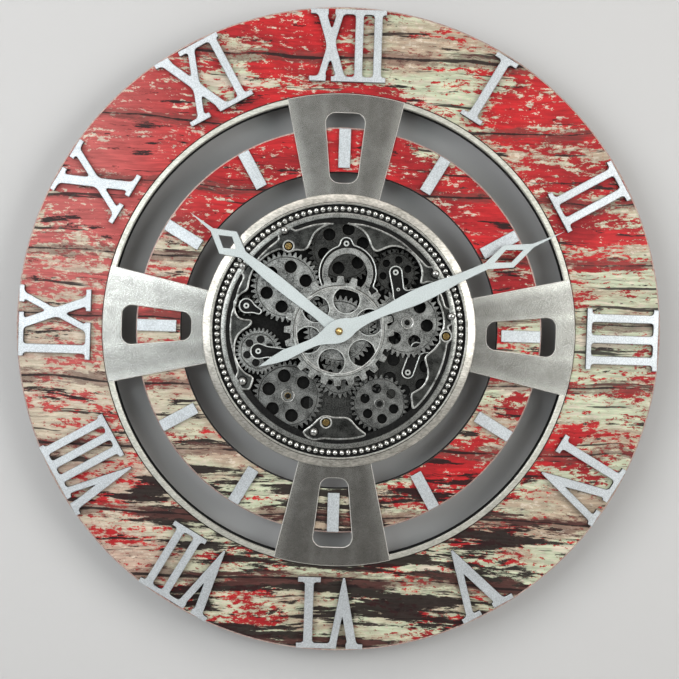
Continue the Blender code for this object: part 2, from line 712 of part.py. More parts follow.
def make_hands(material, brass):
    """Spade hands with an open diamond, and the domed nut that turns with the minute hand."""
    hub = arc(9.5, radians(52), radians(-80), 7)
    hour_side = [(0, 176), (1.9, 150), (13.0, 131), (3.7, 112), (5.6, 80), (5.7, 60), (4.6, 28)] + hub
    hour_diamond = [(0, 142), (6.6, 131.5), (0, 122), (-6.6, 131.5)]
    outlines = [mirrored(hour_side), hour_diamond, circle(2.8, 14)]
    turn = -radians(HOUR_ANGLE)
    prism("hour_hand", [rotated(points, turn) for points in outlines], HOUR_LAYER, material)

    blade = [(3.3, 148), (4.2, 120), (6.6, 98), (7.1, 80), (5.8, 60), (4.2, 42), (4.6, 28), (6.5, 15)]
    tail = [(6.5, -15), (4.0, -30), (5.2, -50), (3.6, -66), (0, -81.5)]
    shoulder = arc(10.6, radians(40), radians(-40), 5)
    minute_side = [(0, 228), (1.8, 196), (11.3, 171)] + blade + shoulder + tail
    minute_diamond = [(0, 186), (6.2, 171), (0, 157), (-6.2, 171)]
    turn = -radians(MINUTE_ANGLE)
    outlines = [rotated(points, turn) for points in (mirrored(minute_side), minute_diamond)]
    arbor = (0, 0, 2.3, CENTRE_LAYER[1] - 1.2)
    prism("minute_hand", outlines, MINUTE_LAYER, material, posts=[arbor])

    base = MINUTE_LAYER[1] + GAP
    dome = [(0, base), (3.6, base), (3.6, base + 1.0), (2.9, base + 2.3), (1.5, base + 3.1), (0, base + 3.4)]
    turned("hand_nut", dome, 16, brass)


# -------------------------------------------------------------- the back

MOVEMENT_HALF = 28.0
MOVEMENT_LAYER = (4.0, 20.5)
CLOCK_CELL = (0.0, -17.5)
GEAR_CELL = (-42.0, -70.0)
CELL_RADIUS = 7.1
CELL_LENGTH = 50.0
KNOB = (14.0, 12.5)
DOOR_HALF = (27.5, 9.4)
KEYHOLE_DROP = 84.0
KEYHOLE_TOP = 93.0


def keyhole():
    """A round entry with a narrow slot above it."""
    entry, neck = 5.2, 2.6
    half = asin(neck / entry)
    top = arc(neck, 0, pi, 5, (0, KEYHOLE_TOP))
    return top + arc(entry, pi / 2 + half, 2 * pi + pi / 2 - half, 12, (0, KEYHOLE_DROP))


def make_case(plastic):
    """The round wall that the back plate sits in, and the cover that closes it at the wall."""
    inner = CASE_RADIUS - CASE_WALL
    ledge_front = BACK_PLATE[0] - GAP
    profile = [
        (CASE_RADIUS, REAR_COVER[1] + GAP), (CASE_RADIUS, PANEL_FRONT), (inner, PANEL_FRONT),
        (inner, ledge_front), (inner - 4, ledge_front), (inner - 4, ledge_front - 2),
        (inner, ledge_front - 2), (inner, REAR_COVER[1] + GAP),
    ]  # fmt: skip
    turned("gear_case", profile, CASE_SIDES, plastic)
    x, z = GEAR_CELL
    half_x, half_z = DOOR_HALF
    outlines = [
        circle(CASE_RADIUS, CASE_SIDES),
        circle(8.6, 16, KNOB),
        rectangle(-26.5, CLOCK_CELL[1] - 8.6, 26.5, CLOCK_CELL[1] + 8.6),
        rectangle(x - half_x - GAP, z - half_z - GAP, x + half_x + GAP, z + half_z + GAP),
        keyhole(),
    ]
    prism("rear_cover", outlines, REAR_COVER, plastic)
    block("gear_battery_door", x - half_x, z - half_z, x + half_x, z + half_z, (0.2, 2.2), plastic)


def make_cell(name, place, depth, material):
    """A dry cell that lies along X."""
    nub = 2.4
    half = CELL_LENGTH / 2
    profile = [(0, -half), (CELL_RADIUS, -half), (CELL_RADIUS, half - 1), (nub, half - 1), (nub, half), (0, half)]
    cell = turned(name, profile, 16, material)
    cell.rotation_euler = (0, 0, pi / 2)
    cell.location = (place[0] * MM, -depth * MM, place[1] * MM)


def make_works(plastic, cell, steel, brass):
    """The quartz movement, the motor that drives the train, and their cells."""
    trough = 7.6
    movement = block("movement_case", -MOVEMENT_HALF, -MOVEMENT_HALF, MOVEMENT_HALF, MOVEMENT_HALF,
                     MOVEMENT_LAYER, plastic)  # fmt: skip
    z = CLOCK_CELL[1]
    combine(movement, block("clock_trough", -26, z - trough, 26, z + trough, (3, 19)), "DIFFERENCE")
    make_cell("clock_battery", CLOCK_CELL, 11.5, cell)
    turned("setting_knob", [(0, 0.6), (7.4, 0.6), (7.4, 3.7), (0, 3.7)], 16, plastic, KNOB)

    x, z = GEAR_CELL
    tray = block("battery_tray", x - 28.5, z - 10.4, x + 28.5, z + 10.4, (REAR_COVER[1] + GAP, 20.0), plastic)
    combine(tray, block("tray_trough", x - 26.5, z - 8, x + 26.5, z + 8, (1, 18.4)), "DIFFERENCE")
    make_cell("gear_battery", GEAR_CELL, 10.6, cell)

    front = BACK_PLATE[0] - GAP
    turned("gear_motor", [(0, 13.0), (12.0, 13.0), (12.0, front), (0, front)], 20, steel, MOTOR)
    back, nut = MOVEMENT_LAYER[1] + GAP, (BACK_PLATE[1] + GAP, REAR_LAYER[1])
    end = CENTRE_LAYER[1] + 0.4
    profile = [
        (BUSH_RADIUS, back), (BUSH_RADIUS, nut[0]), (10.0, nut[0]), (10.0, nut[1]), (BUSH_RADIUS, nut[1]),
        (BUSH_RADIUS, end), (4.2, end), (4.2, back),
    ]  # fmt: skip
    turned("centre_bush", profile, 16, brass)


def main():
    for obj in list(bpy.data.objects):
        bpy.data.objects.remove(obj)
    wood = material_of("distressed_wood", (0.55, 0.12, 0.10), 0.55, 0.0)
    pewter = material_of("antique_pewter", (0.42, 0.41, 0.38), 0.42, 0.9)
    silver = material_of("wheel_silver", (0.45, 0.45, 0.43), 0.45, 0.9)
    dark_silver = material_of("dark_wheel_silver", (0.22, 0.22, 0.21), 0.5, 0.9)
    black = material_of("blackened_plate", (0.02, 0.02, 0.022), 0.6, 0.5)
    painted = material_of("pale_painted_metal", (0.62, 0.65, 0.68), 0.5, 0.3)
    plastic = material_of("black_plastic", (0.02, 0.02, 0.02), 0.45, 0.0)
    cell = material_of("dry_cell", (0.06, 0.12, 0.08), 0.4, 0.2)
    steel = material_of("motor_steel", (0.5, 0.5, 0.5), 0.3, 1.0)
    brass = material_of("brass", (0.65, 0.50, 0.22), 0.3, 1.0)

    make_panels(wood)
    make_spoke_frame(pewter)
    make_bezel(pewter)
    make_numerals(painted)
    make_markers(painted)
    make_back_plate(black)
    make_border_plate(silver)
    make_bridges(silver)
    make_train(silver, dark_silver)
    make_centre_wheel(silver)
    make_hands(painted, brass)
    make_case(plastic)
    make_works(plastic, cell, steel, brass)


main()
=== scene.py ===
"""The looks of the skeleton wall clock: fine surfaces and finishes over the CAD model.

The CAD model gives every place. Sizes are in millimetres unless a name says otherwise. A place on the dial
is (x, z) and a depth is a distance from the wall, as in the CAD model. An outline is a list of dial points
that keeps its solid on its left.
"""

import json
from math import asin, atan2, cos, hypot, pi, radians, sin, sqrt

import bmesh
import bpy
import numpy as np
from mathutils import Matrix, Vector


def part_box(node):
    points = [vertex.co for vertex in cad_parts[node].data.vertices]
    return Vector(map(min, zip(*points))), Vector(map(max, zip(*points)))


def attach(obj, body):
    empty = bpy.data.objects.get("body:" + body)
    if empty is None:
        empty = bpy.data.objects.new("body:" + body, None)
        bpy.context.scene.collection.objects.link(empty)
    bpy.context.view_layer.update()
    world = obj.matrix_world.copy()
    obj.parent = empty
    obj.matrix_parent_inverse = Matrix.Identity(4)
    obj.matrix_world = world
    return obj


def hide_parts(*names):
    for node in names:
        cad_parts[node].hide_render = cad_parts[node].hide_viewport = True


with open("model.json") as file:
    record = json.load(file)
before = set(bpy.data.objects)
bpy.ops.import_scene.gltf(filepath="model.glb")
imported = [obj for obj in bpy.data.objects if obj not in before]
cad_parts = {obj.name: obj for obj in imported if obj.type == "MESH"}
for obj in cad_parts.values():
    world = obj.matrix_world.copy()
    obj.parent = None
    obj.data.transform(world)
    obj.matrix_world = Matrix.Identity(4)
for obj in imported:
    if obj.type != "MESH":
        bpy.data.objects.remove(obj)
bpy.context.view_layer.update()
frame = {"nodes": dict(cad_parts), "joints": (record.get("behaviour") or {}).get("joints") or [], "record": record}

MM = 0.001
SHARP_ANGLE = radians(32)
LOOKS = {}

# ------------------------------------------------------------------ places, read from the CAD model

BODY_OF = {node: body for body, nodes in frame["record"]["behaviour"]["bodies"].items() for node in nodes}
HINGES = [joint for joint in frame["joints"] if joint["type"] == "hinge"]
AXIS_OF = {joint["child"]: (joint["pos_m"][0] / MM, joint["pos_m"][2] / MM) for joint in HINGES}


def axis(node):
    """The dial point of the axis that a node turns on."""
    return AXIS_OF.get(BODY_OF[node], (0.0, 0.0))


def layer(node):
    """The depths of a node's back and front."""
    low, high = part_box(node)
    return -high.y / MM, -low.y / MM


def corners(node, back=-1.0, front=100.0):
    """A node's corners between two depths, as x and z from its axis."""
    spots = np.array([vertex.co for vertex in frame["nodes"][node].data.vertices]) / MM
    kept = spots[(-spots[:, 1] > back) & (-spots[:, 1] < front)]
    centre = axis(node)
    return kept[:, 0] - centre[0], kept[:, 2] - centre[1]


def reach(node, back=-1.0, front=100.0):
    """How far a node spreads from its axis, between two depths."""
    x, z = corners(node, back, front)
    return float(np.hypot(x, z).max())


def tooth_phase(node, teeth, back=-1.0, front=100.0):
    """The direction of one of a wheel's teeth, in radians."""
    x, z = corners(node, back, front)
    away = np.hypot(x, z)
    tips = away > away.max() - 0.05
    turns = np.arctan2(z[tips], x[tips]) * teeth
    return atan2(np.sin(turns).mean(), np.cos(turns).mean()) / teeth


def far_direction(node):
    """The direction of a node's furthest corner from its axis, in radians."""
    x, z = corners(node)
    k = int(np.argmax(np.hypot(x, z)))
    return atan2(z[k], x[k])


# ---------------------------------------------------------------------------------------- outlines


def polar(radius, turn, centre=(0.0, 0.0)):
    """The dial point at a distance from a centre, in a direction in radians."""
    return centre[0] + radius * cos(turn), centre[1] + radius * sin(turn)


def circle(radius, sides, centre=(0.0, 0.0), phase=0.0):
    return [polar(radius, phase + 2 * pi * k / sides, centre) for k in range(sides)]


def arc(radius, start, end, steps, centre=(0.0, 0.0)):
    return [polar(radius, start + (end - start) * k / steps, centre) for k in range(steps + 1)]


def hole(points):
    """The points the other way round, so that the solid is outside them."""
    return list(reversed(points))


def rotated(points, turn):
    c, s = cos(turn), sin(turn)
    return [(x * c - z * s, x * s + z * c) for x, z in points]


def moved(points, shift):
    return [(x + shift[0], z + shift[1]) for x, z in points]


def rounded_box(x0, z0, x1, z1, corner, steps=4):
    """A rectangle with round corners."""
    points = []
    for k, (x, z) in enumerate(((x1, z1), (x0, z1), (x0, z0), (x1, z0))):
        middle = (x - corner if x == x1 else x + corner, z - corner if z == z1 else z + corner)
        points += arc(corner, k * pi / 2, (k + 1) * pi / 2, steps, middle)
    return points


def smooth(points, steps):
    """A curve through the points."""
    line = [points[0]] + list(points) + [points[-1]]
    curve = []
    for a, b, c, d in zip(line, line[1:], line[2:], line[3:]):
        for k in range(steps):
            t = k / steps
            weights = (
                -t / 2 + t * t - t**3 / 2,
                1 - 2.5 * t * t + 1.5 * t**3,
                t / 2 + 2 * t * t - 1.5 * t**3,
                -t * t / 2 + t**3 / 2,
            )
            curve.append(tuple(sum(w * p[i] for w, p in zip(weights, (a, b, c, d))) for i in (0, 1)))
    return curve + [points[-1]]


def left_of(sides):
    """A unit vector to the left of each side."""
    return np.stack((-sides[:, 1], sides[:, 0]), 1) / np.hypot(*sides.T)[:, None]


def inset(points, amount):
    """An outline moved into its solid by an amount."""
    if amount == 0:
        return points
    spots = np.array(points)
    before = spots - np.roll(spots, 1, 0)
    after = np.roll(spots, -1, 0) - spots
    middle = left_of(before) + left_of(after)
    widening = 2 / np.maximum((middle**2).sum(1), 0.9)
    return [tuple(spot) for spot in spots + middle * (widening * amount)[:, None]]


# -------------------------------------------------------------------- outlines from distance fields


def blend(a, b, fillet):
    """The union of two fields with a fillet where they meet."""
    near = np.clip(fillet - np.abs(a - b), 0, None) / fillet
    return np.minimum(a, b) - near * near * fillet / 4


def blend_all(fields, fillet):
    total = fields[0]
    for field in fields[1:]:
        total = blend(total, field, fillet)
    return total


def disc_field(x, z, centre, radius):
    return np.hypot(x - centre[0], z - centre[1]) - radius


def bar_field(x, z, start, end, half):
    """A straight bar with square ends."""
    run, rise = end[0] - start[0], end[1] - start[1]
    length = hypot(run, rise)
    along = ((x - start[0]) * run + (z - start[1]) * rise) / length
    across = np.abs((x - start[0]) * rise - (z - start[1]) * run) / length
    return np.maximum(across - half, np.maximum(-along, along - length))


def capsule_field(x, z, start, end, start_radius, end_radius):
    """A bar with round ends whose radius runs from start_radius to end_radius."""
    run, rise = end[0] - start[0], end[1] - start[1]
    share = ((x - start[0]) * run + (z - start[1]) * rise) / (run * run + rise * rise)
    share = np.clip(share, 0, 1)
    away = np.hypot(x - start[0] - share * run, z - start[1] - share * rise)
    return away - (start_radius + (end_radius - start_radius) * share)


def box_field(x, z, x0, z0, x1, z1):
    return np.maximum(np.maximum(x0 - x, x - x1), np.maximum(z0 - z, z - z1))


def crossing(a, b, value_a, value_b):
    share = value_a / (value_a - value_b)
    return (a[0] + (b[0] - a[0]) * share, a[1] + (b[1] - a[1]) * share)


def trace(field, box, step, slack):
    """The closed outlines of the region where field is negative, each thinned to within slack. Specks are
    left out."""
    xs = np.arange(box[0], box[2] + step, step)
    zs = np.arange(box[1], box[3] + step, step)
    grid = field(*np.meshgrid(xs, zs, indexing="ij"))
    inside = grid < 0
    mixed = inside[:-1, :-1].astype(int) + inside[1:, :-1] + inside[1:, 1:] + inside[:-1, 1:]
    follow, points = {}, {}
    for i, j in np.argwhere((mixed > 0) & (mixed < 4)):
        square = [(i, j), (i + 1, j), (i + 1, j + 1), (i, j + 1)]
        leaving, entering = [], []
        for k in range(4):
            a, b = square[k], square[(k + 1) % 4]
            if inside[a] == inside[b]:
                continue
            key = (min(a, b), max(a, b))
            place_a, place_b = (xs[a[0]], zs[a[1]]), (xs[b[0]], zs[b[1]])
            points[key] = crossing(place_a, place_b, grid[a], grid[b])
            (leaving if inside[a] else entering).append((k, key))
        for k, key in leaving:
            follow[key] = min(entering, key=lambda other: (k - other[0]) % 4)[1]
    loops = []
    while follow:
        loop, key = [], next(iter(follow))
        while key in follow:
            loop.append(points[key])
            key = follow.pop(key)
        if len(loop) > 12:
            loops.append(thinned(loop, slack))
    return loops


def thinned(loop, slack):
    """A closed loop with only the points that keep it within slack of what it was."""
    spots = np.array(loop)
    far = int(np.argmax(np.hypot(*(spots - spots[0]).T)))
    kept = [0] + thinned_run(spots, 0, far, slack) + [far]
    kept += thinned_run(np.vstack([spots, spots[:1]]), far, len(spots), slack)
    return [tuple(spots[k]) for k in kept]


def thinned_run(spots, first, last, slack):
    """The points to keep strictly between first and last."""
    if last - first < 2:
        return []
    chord = spots[last] - spots[first]
    rest = spots[first + 1 : last] - spots[first]
    away = np.abs(rest[:, 0] * chord[1] - rest[:, 1] * chord[0]) / max(hypot(*chord), 1e-9)
    worst = first + 1 + int(np.argmax(away))
    if away.max() < slack:
        return []
    return thinned_run(spots, first, worst, slack) + [worst] + thinned_run(spots, worst, last, slack)


# ------------------------------------------------------------------------------------------ pieces


class Piece:
    """A piece under construction. Each of its faces has one of the LOOKS, by name."""

    def __init__(self, name):
        self.name = name
        self.mesh = bmesh.new()
        self.looks = []

    def index(self, look):
        if look not in self.looks:
            self.looks.append(look)
        return self.looks.index(look)

    def ring(self, points, depth):
        return [self.mesh.verts.new((x * MM, -depth * MM, z * MM)) for x, z in points]

    def strip(self, a, b, look):
        """Faces between two rings of as many points."""
        for k in range(len(a)):
            after = (k + 1) % len(a)
            face_corners = list(dict.fromkeys((a[k], a[after], b[after], b[k])))
            if len(face_corners) > 2:
                self.mesh.faces.new(face_corners).material_index = self.index(look)

    def cap(self, rings, look):
        """A flat face bounded by all the rings."""
        edges = []
        for loop in rings:
            for k in range(len(loop)):
                pair = (loop[k - 1], loop[k])
                edges.append(self.mesh.edges.get(pair) or self.mesh.edges.new(pair))
        made = bmesh.ops.triangle_fill(self.mesh, edges=edges, use_beauty=True, normal=(0, -1, 0))
        for item in made["geom"]:
            if isinstance(item, bmesh.types.BMFace):
                item.material_index = self.index(look)

    def relief(self, outlines, steps, face, back=None):
        """Outlines stacked along (inset, depth, look) steps, from the back to the front, and capped."""
        stacks = []
        for points in outlines:
            rings = [self.ring(inset(points, step[0]), step[1]) for step in steps]
            for a, b, step in zip(rings, rings[1:], steps[1:]):
                self.strip(a, b, step[2])
            stacks.append(rings)
        self.cap([rings[0] for rings in stacks], back or steps[1][2])
        self.cap([rings[-1] for rings in stacks], face)

    def block(self, outlines, look, *steps, face=None):
        """A relief along (inset, depth) steps that all have one look."""
        self.relief(outlines, [(amount, depth, look) for amount, depth in steps], face or look)

    def turned(self, profile, sides, look, at=(0.0, 0.0)):
        """A closed profile turned about an axis. Its points are (radius, depth), or (radius, depth, look)
        where the side that starts there has a look of its own."""
        rings = []
        for radius, depth, *_ in profile:
            if radius == 0:
                rings.append(self.ring([at], depth) * sides)
            else:
                rings.append(self.ring(circle(radius, sides, at), depth))
        for point, a, b in zip(profile, rings, rings[1:] + rings[:1]):
            self.strip(a, b, point[2] if len(point) > 2 else look)

    def sleeve(self, inner, outer, back, front, sides, look, at=(0.0, 0.0)):
        """A plain ring, or a plain disc where inner is 0."""
        profile = [(inner, back), (outer, back), (outer, front), (inner, front)]
        self.turned(profile, sides, look, at)

    def dome(self, centre, radius, base, height, look, sides=16, steps=4):
        """A domed head whose foot is sunk a little into what it stands on."""
        rise = [pi / 2 * k / steps for k in range(steps + 1)]
        profile = [(radius * cos(t), base + height * sin(t)) for t in rise[:-1]] + [(0, base + height)]
        self.turned([(0, base - 0.5), (radius, base - 0.5)] + profile, sides, look, centre)

    def finish(self, *nodes, body=None, slot=None):
        """Makes the object, which stands for the CAD nodes. Its body is the first node's, unless it is given.
        The slot is not used."""
        bmesh.ops.recalc_face_normals(self.mesh, faces=self.mesh.faces[:])
        data = bpy.data.meshes.new(self.name)
        self.mesh.to_mesh(data)
        self.mesh.free()
        data.shade_smooth()
        data.set_sharp_from_angle(angle=SHARP_ANGLE)
        for look in self.looks:
            data.materials.append(LOOKS[look])
        obj = bpy.data.objects.new(self.name, data)
        bpy.context.collection.objects.link(obj)
        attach(obj, body or BODY_OF[nodes[0]])
        if nodes:
            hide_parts(*nodes)
        return obj


def plate(back, front, side, edge, bevel=0.3):
    """Steps of a flat plate with a bevelled front edge."""
    return [(0.0, back, side), (0.0, front - bevel, side), (bevel, front, edge)]


def lined(back, front, side, line, width=0.9, drop=0.7):
    """Steps of a plate with a raised round line along its edge and a sunk face inside it."""
    return [
        (0.0, back, side),
        (0.0, front - 0.35, side),
        (0.25 * width, front - 0.05, line),
        (0.5 * width, front, line),
        (0.8 * width, front - 0.12, line),
        (width, front - drop, line),
    ]


# ------------------------------------------------------------------------------------------- looks


class Look:
    """A material under construction. Patterns are placed by the object's own coordinates, in metres."""

    def __init__(self, name, roughness, metallic, coat=0.0):
        self.material = bpy.data.materials.new(name)
        self.material.use_nodes = True
        self.nodes = self.material.node_tree.nodes
        self.shader = self.nodes["Principled BSDF"]
        self.shader.inputs["Roughness"].default_value = roughness
        self.shader.inputs["Metallic"].default_value = metallic
        self.shader.inputs["Coat Weight"].default_value = coat
        self.place = self.nodes.new("ShaderNodeTexCoord").outputs["Object"]
        LOOKS[name] = self.material

    def dull(self, share):
        """Cuts the sheen of a surface that isn't metal."""
        self.shader.inputs["Specular IOR Level"].default_value = share

    def feed(self, socket, value):
        if isinstance(value, bpy.types.NodeSocket):
            self.material.node_tree.links.new(value, socket)
        elif value is not None:
            socket.default_value = value

    def math(self, operation, a, b=None, c=None, clamp=False):
        node = self.nodes.new("ShaderNodeMath")
        node.operation = operation
        node.use_clamp = clamp
        for socket, value in zip(node.inputs, (a, b, c)):
            self.feed(socket, value)
        return node.outputs[0]

    def parts(self, vector=None):
        """The three coordinates of a place."""
        node = self.nodes.new("ShaderNodeSeparateXYZ")
        self.feed(node.inputs[0], vector or self.place)
        return node.outputs

    def joined(self, x, y, z):
        node = self.nodes.new("ShaderNodeCombineXYZ")
        for socket, value in zip(node.inputs, (x, y, z)):
            self.feed(socket, value)
        return node.outputs[0]

    def noise(self, scale, stretch=(1, 1, 1), detail=3.0, roughness=0.5, shift=0.0, at=None):
        """Noise with scale features to a metre along an axis of stretch 1, and fewer where it is less."""
        mapping = self.nodes.new("ShaderNodeMapping")
        self.feed(mapping.inputs["Vector"], at or self.place)
        mapping.inputs["Scale"].default_value = stretch
        mapping.inputs["Location"].default_value = (shift, shift, shift)
        node = self.nodes.new("ShaderNodeTexNoise")
        self.feed(node.inputs["Vector"], mapping.outputs[0])
        node.inputs["Scale"].default_value = scale
        node.inputs["Detail"].default_value = detail
        node.inputs["Roughness"].default_value = roughness
        return node.outputs["Fac"]

    def step(self, value, low, high, start=0.0, end=1.0):
        """A smooth step from start to end as the value goes from low to high."""
        node = self.nodes.new("ShaderNodeMapRange")
        node.interpolation_type = "SMOOTHSTEP"
        for name, number in (("From Min", low), ("From Max", high), ("To Min", start), ("To Max", end)):
            node.inputs[name].default_value = number
        self.feed(node.inputs["Value"], value)
        return node.outputs["Result"]

    def layers(self, *patterns):
        """The sum of smooth steps from 0 to a share, each given as (pattern, low, high, share)."""
        steps = [self.step(pattern, low, high, 0.0, share) for pattern, low, high, share in patterns]
        total = steps[0]
        for step in steps[1:]:
            total = self.math("ADD", total, step)
        return total

    def mix(self, share, a, b):
        """Colour a where share is 0, and b where it is 1."""
        node = self.nodes.new("ShaderNodeMix")
        node.data_type = "RGBA"
        self.feed(node.inputs[0], share)
        for socket, colour in ((node.inputs[6], a), (node.inputs[7], b)):
            self.feed(socket, (*colour, 1.0) if isinstance(colour, tuple) else colour)
        return node.outputs[2]

    def shaded(self, colour, share):
        """A colour made darker or lighter by a factor from nodes."""
        node = self.nodes.new("ShaderNodeVectorMath")
        node.operation = "SCALE"
        self.feed(node.inputs[0], colour)
        self.feed(node.inputs["Scale"], share)
        return node.outputs[0]

    def colour(self, value):
        self.feed(self.shader.inputs["Base Color"], value)

    def rough(self, value):
        self.feed(self.shader.inputs["Roughness"], value)

    def bump(self, height, distance, strength=1.0):
        """Bumps as deep as distance, in metres."""
        node = self.nodes.new("ShaderNodeBump")
        node.inputs["Distance"].default_value = distance
        node.inputs["Strength"].default_value = strength
        self.feed(node.inputs["Height"], height)
        self.feed(self.shader.inputs["Normal"], node.outputs[0])


# Painted shade: cast metal grows darker with depth between these two depths.
SHADE_DEPTHS = (-0.0345, -0.0465)  # along Y, in metres: the rearmost wheels, and the front wheel


def cast_metal(
    name, dark, bright, roughness, grain=1200.0, depth=0.00004, mottle=0.3, depth_shade=1.0, metallic=1.0
):
    """Cast or sandblasted metal: a fine sparkling grain over broad cloudy stains. Painted shade for depth
    keeps a given share of its brightness on the rearmost wheels, and all of it on the front wheel."""
    look = Look(name, roughness, metallic)
    fine = look.noise(grain, detail=2.0, roughness=0.6)
    broad = look.noise(110.0, detail=4.0, roughness=0.6, shift=3.0)
    share = look.layers((fine, 0.32, 0.68, 1.0 - mottle), (broad, 0.3, 0.7, mottle))
    colour = look.mix(share, dark, bright)
    # painted shade: darker towards the wall, so the deeper wheels look shaded
    if depth_shade < 1.0:
        colour = look.shaded(colour, look.step(look.parts()[1], *SHADE_DEPTHS, depth_shade, 1.0))
    look.colour(colour)
    look.rough(look.step(fine, 0.3, 0.7, roughness + 0.06, roughness - 0.05))
    look.bump(fine, depth)


def burnished_metal(name, dark, bright, roughness):
    """The spokes' metal: a dark patina with a fine grain, worn bright towards the spokes' edges."""
    look = Look(name, roughness, 1.0)
    x, _, z = look.parts()
    x, z = look.math("ABSOLUTE", x), look.math("ABSOLUTE", z)
    along, across = look.math("MAXIMUM", x, z), look.math("MINIMUM", x, z)
    edge = look.math("SUBTRACT", look.math("MULTIPLY_ADD", along, 0.2258, 0.0063), across)
    window = look.math("SUBTRACT", look.math("MULTIPLY_ADD", along, 0.076, 0.0029), across)
    worn = look.layers((look.math("ABSOLUTE", window), 0.006, 0.0, 0.10), (edge, 0.012, 0.0, 0.30))
    fine = look.noise(1700.0, detail=2.0, roughness=0.7)
    broad = look.noise(60.0, detail=5.0, roughness=0.65, shift=3.0)
    share = look.layers((fine, 0.3, 0.7, 0.46), (broad, 0.3, 0.7, 0.16))
    look.colour(look.mix(look.math("ADD", share, worn, clamp=True), dark, bright))
    look.rough(look.step(fine, 0.3, 0.7, roughness + 0.06, roughness - 0.05))
    look.bump(fine, 0.00002)


def black_paint_and_shade(name, dark, bright, stretch=(1, 1, 1)):
    """Matt black with a fine grain: the back plate's black paint, and painted shade in the deep places."""
    look = Look(name, 0.7, 0.0)
    look.dull(0.12)
    grain = look.noise(600.0, stretch, detail=4.0, roughness=0.7)
    look.colour(look.mix(look.step(grain, 0.35, 0.75), dark, bright))
    look.bump(grain, 0.0001)


def brushed_metal(name, dark, bright, roughness):
    """Turned metal: fine rings about the dial's axis, with cloudy stains."""
    look = Look(name, roughness, 0.95)
    x, _, z = look.parts()
    square = look.math("ADD", look.math("POWER", x, 2.0), look.math("POWER", z, 2.0))
    radius = look.math("POWER", square, 0.5)
    rings = look.noise(1400.0, detail=2.0, at=look.joined(radius, 0.0, 0.0))
    cloud = look.noise(60.0, detail=5.0, roughness=0.65)
    grain = look.noise(800.0, (0.35, 1, 1), detail=2.0)
    share = look.layers((cloud, 0.3, 0.7, 0.5), (grain, 0.35, 0.65, 0.5))
    look.colour(look.mix(share, dark, bright))
    look.rough(look.step(cloud, 0.3, 0.7, roughness + 0.08, roughness - 0.05))
    look.bump(rings, 0.00004)


def sprayed_metal(name, dark, bright, roughness, metallic):
    """Silver spray paint with a sparkling flake."""
    look = Look(name, roughness, metallic)
    flake = look.noise(1100.0, detail=1.5, roughness=0.7)
    cloud = look.noise(30.0, detail=3.0)
    share = look.layers((flake, 0.35, 0.65, 0.7), (cloud, 0.3, 0.7, 0.3))
    look.colour(look.mix(share, dark, bright))
    look.bump(flake, 0.00006)


def polished_metal(name, dark, bright, roughness):
    """Polished metal with a few hazy stains."""
    look = Look(name, roughness, 1.0)
    haze = look.noise(350.0, detail=4.0)
    look.colour(look.mix(look.step(haze, 0.35, 0.65), dark, bright))
    look.rough(look.step(haze, 0.3, 0.7, roughness + 0.06, roughness - 0.04))


def moulded_plastic(name, colour, worn, roughness):
    """Plastic with a fine moulded texture."""
    look = Look(name, roughness, 0.0)
    texture = look.noise(1500.0, detail=2.0)
    scuffs = look.noise(40.0, detail=5.0, roughness=0.7)
    look.colour(look.mix(look.step(scuffs, 0.45, 0.75), colour, worn))
    look.rough(look.step(scuffs, 0.4, 0.7, roughness - 0.06, roughness + 0.08))
    look.bump(texture, 0.00008)


def fibre_board(name, dark, bright):
    """Fibre board, bare or painted: fine fibres over broad stains."""
    look = Look(name, 0.75, 0.0)
    look.dull(0.3)
    fibres = look.noise(700.0, (0.5, 1, 1), detail=3.0)
    stains = look.noise(35.0, detail=7.0, roughness=0.72)
    share = look.layers((stains, 0.3, 0.7, 0.55), (fibres, 0.3, 0.7, 0.45))
    look.colour(look.mix(share, dark, bright))
    look.bump(fibres, 0.0002)


# Where the print's old paint is worn down to the pale coat (over 0) or kept whole (under 0), as
# (x, z, radius, share).
WEAR = (
    (80, 262, 90, 0.05), (-40, 285, 60, -0.06), (-110, 240, 60, 0.02), (-190, 190, 100, -0.05),
    (185, 195, 70, -0.055), (262, 70, 90, 0.02), (215, -165, 90, 0.03), (30, -262, 110, 0.05),
    (-75, -262, 38, -0.025), (-175, -185, 95, 0.04), (-262, -60, 85, 0.04), (-225, 125, 70, -0.05),
    (0, 150, 120, -0.07), (125, 118, 50, -0.08), (-125, 118, 45, -0.07), (-150, -70, 75, 0.03),
    (-20, -165, 80, 0.03), (165, -40, 50, -0.01), (120, -120, 45, -0.025), (160, 70, 50, -0.02),
)  # fmt: skip
PLANK = 0.061  # the height of a printed plank, in metres
RED_DARK = (0.27, 0.011, 0.014)
RED_BRIGHT = (0.48, 0.017, 0.02)
RED_FADED = (0.43, 0.098, 0.09)
PALE_BEIGE = (0.4, 0.31, 0.225)
PALE_MINT = (0.47, 0.51, 0.36)
PALE_CREAM = (0.56, 0.48, 0.385)
PALE_BLUSH = (0.50, 0.335, 0.28)
RUST = (0.22, 0.05, 0.04)
GRIME = (0.11, 0.04, 0.033)
CRACK = (0.012, 0.006, 0.006)


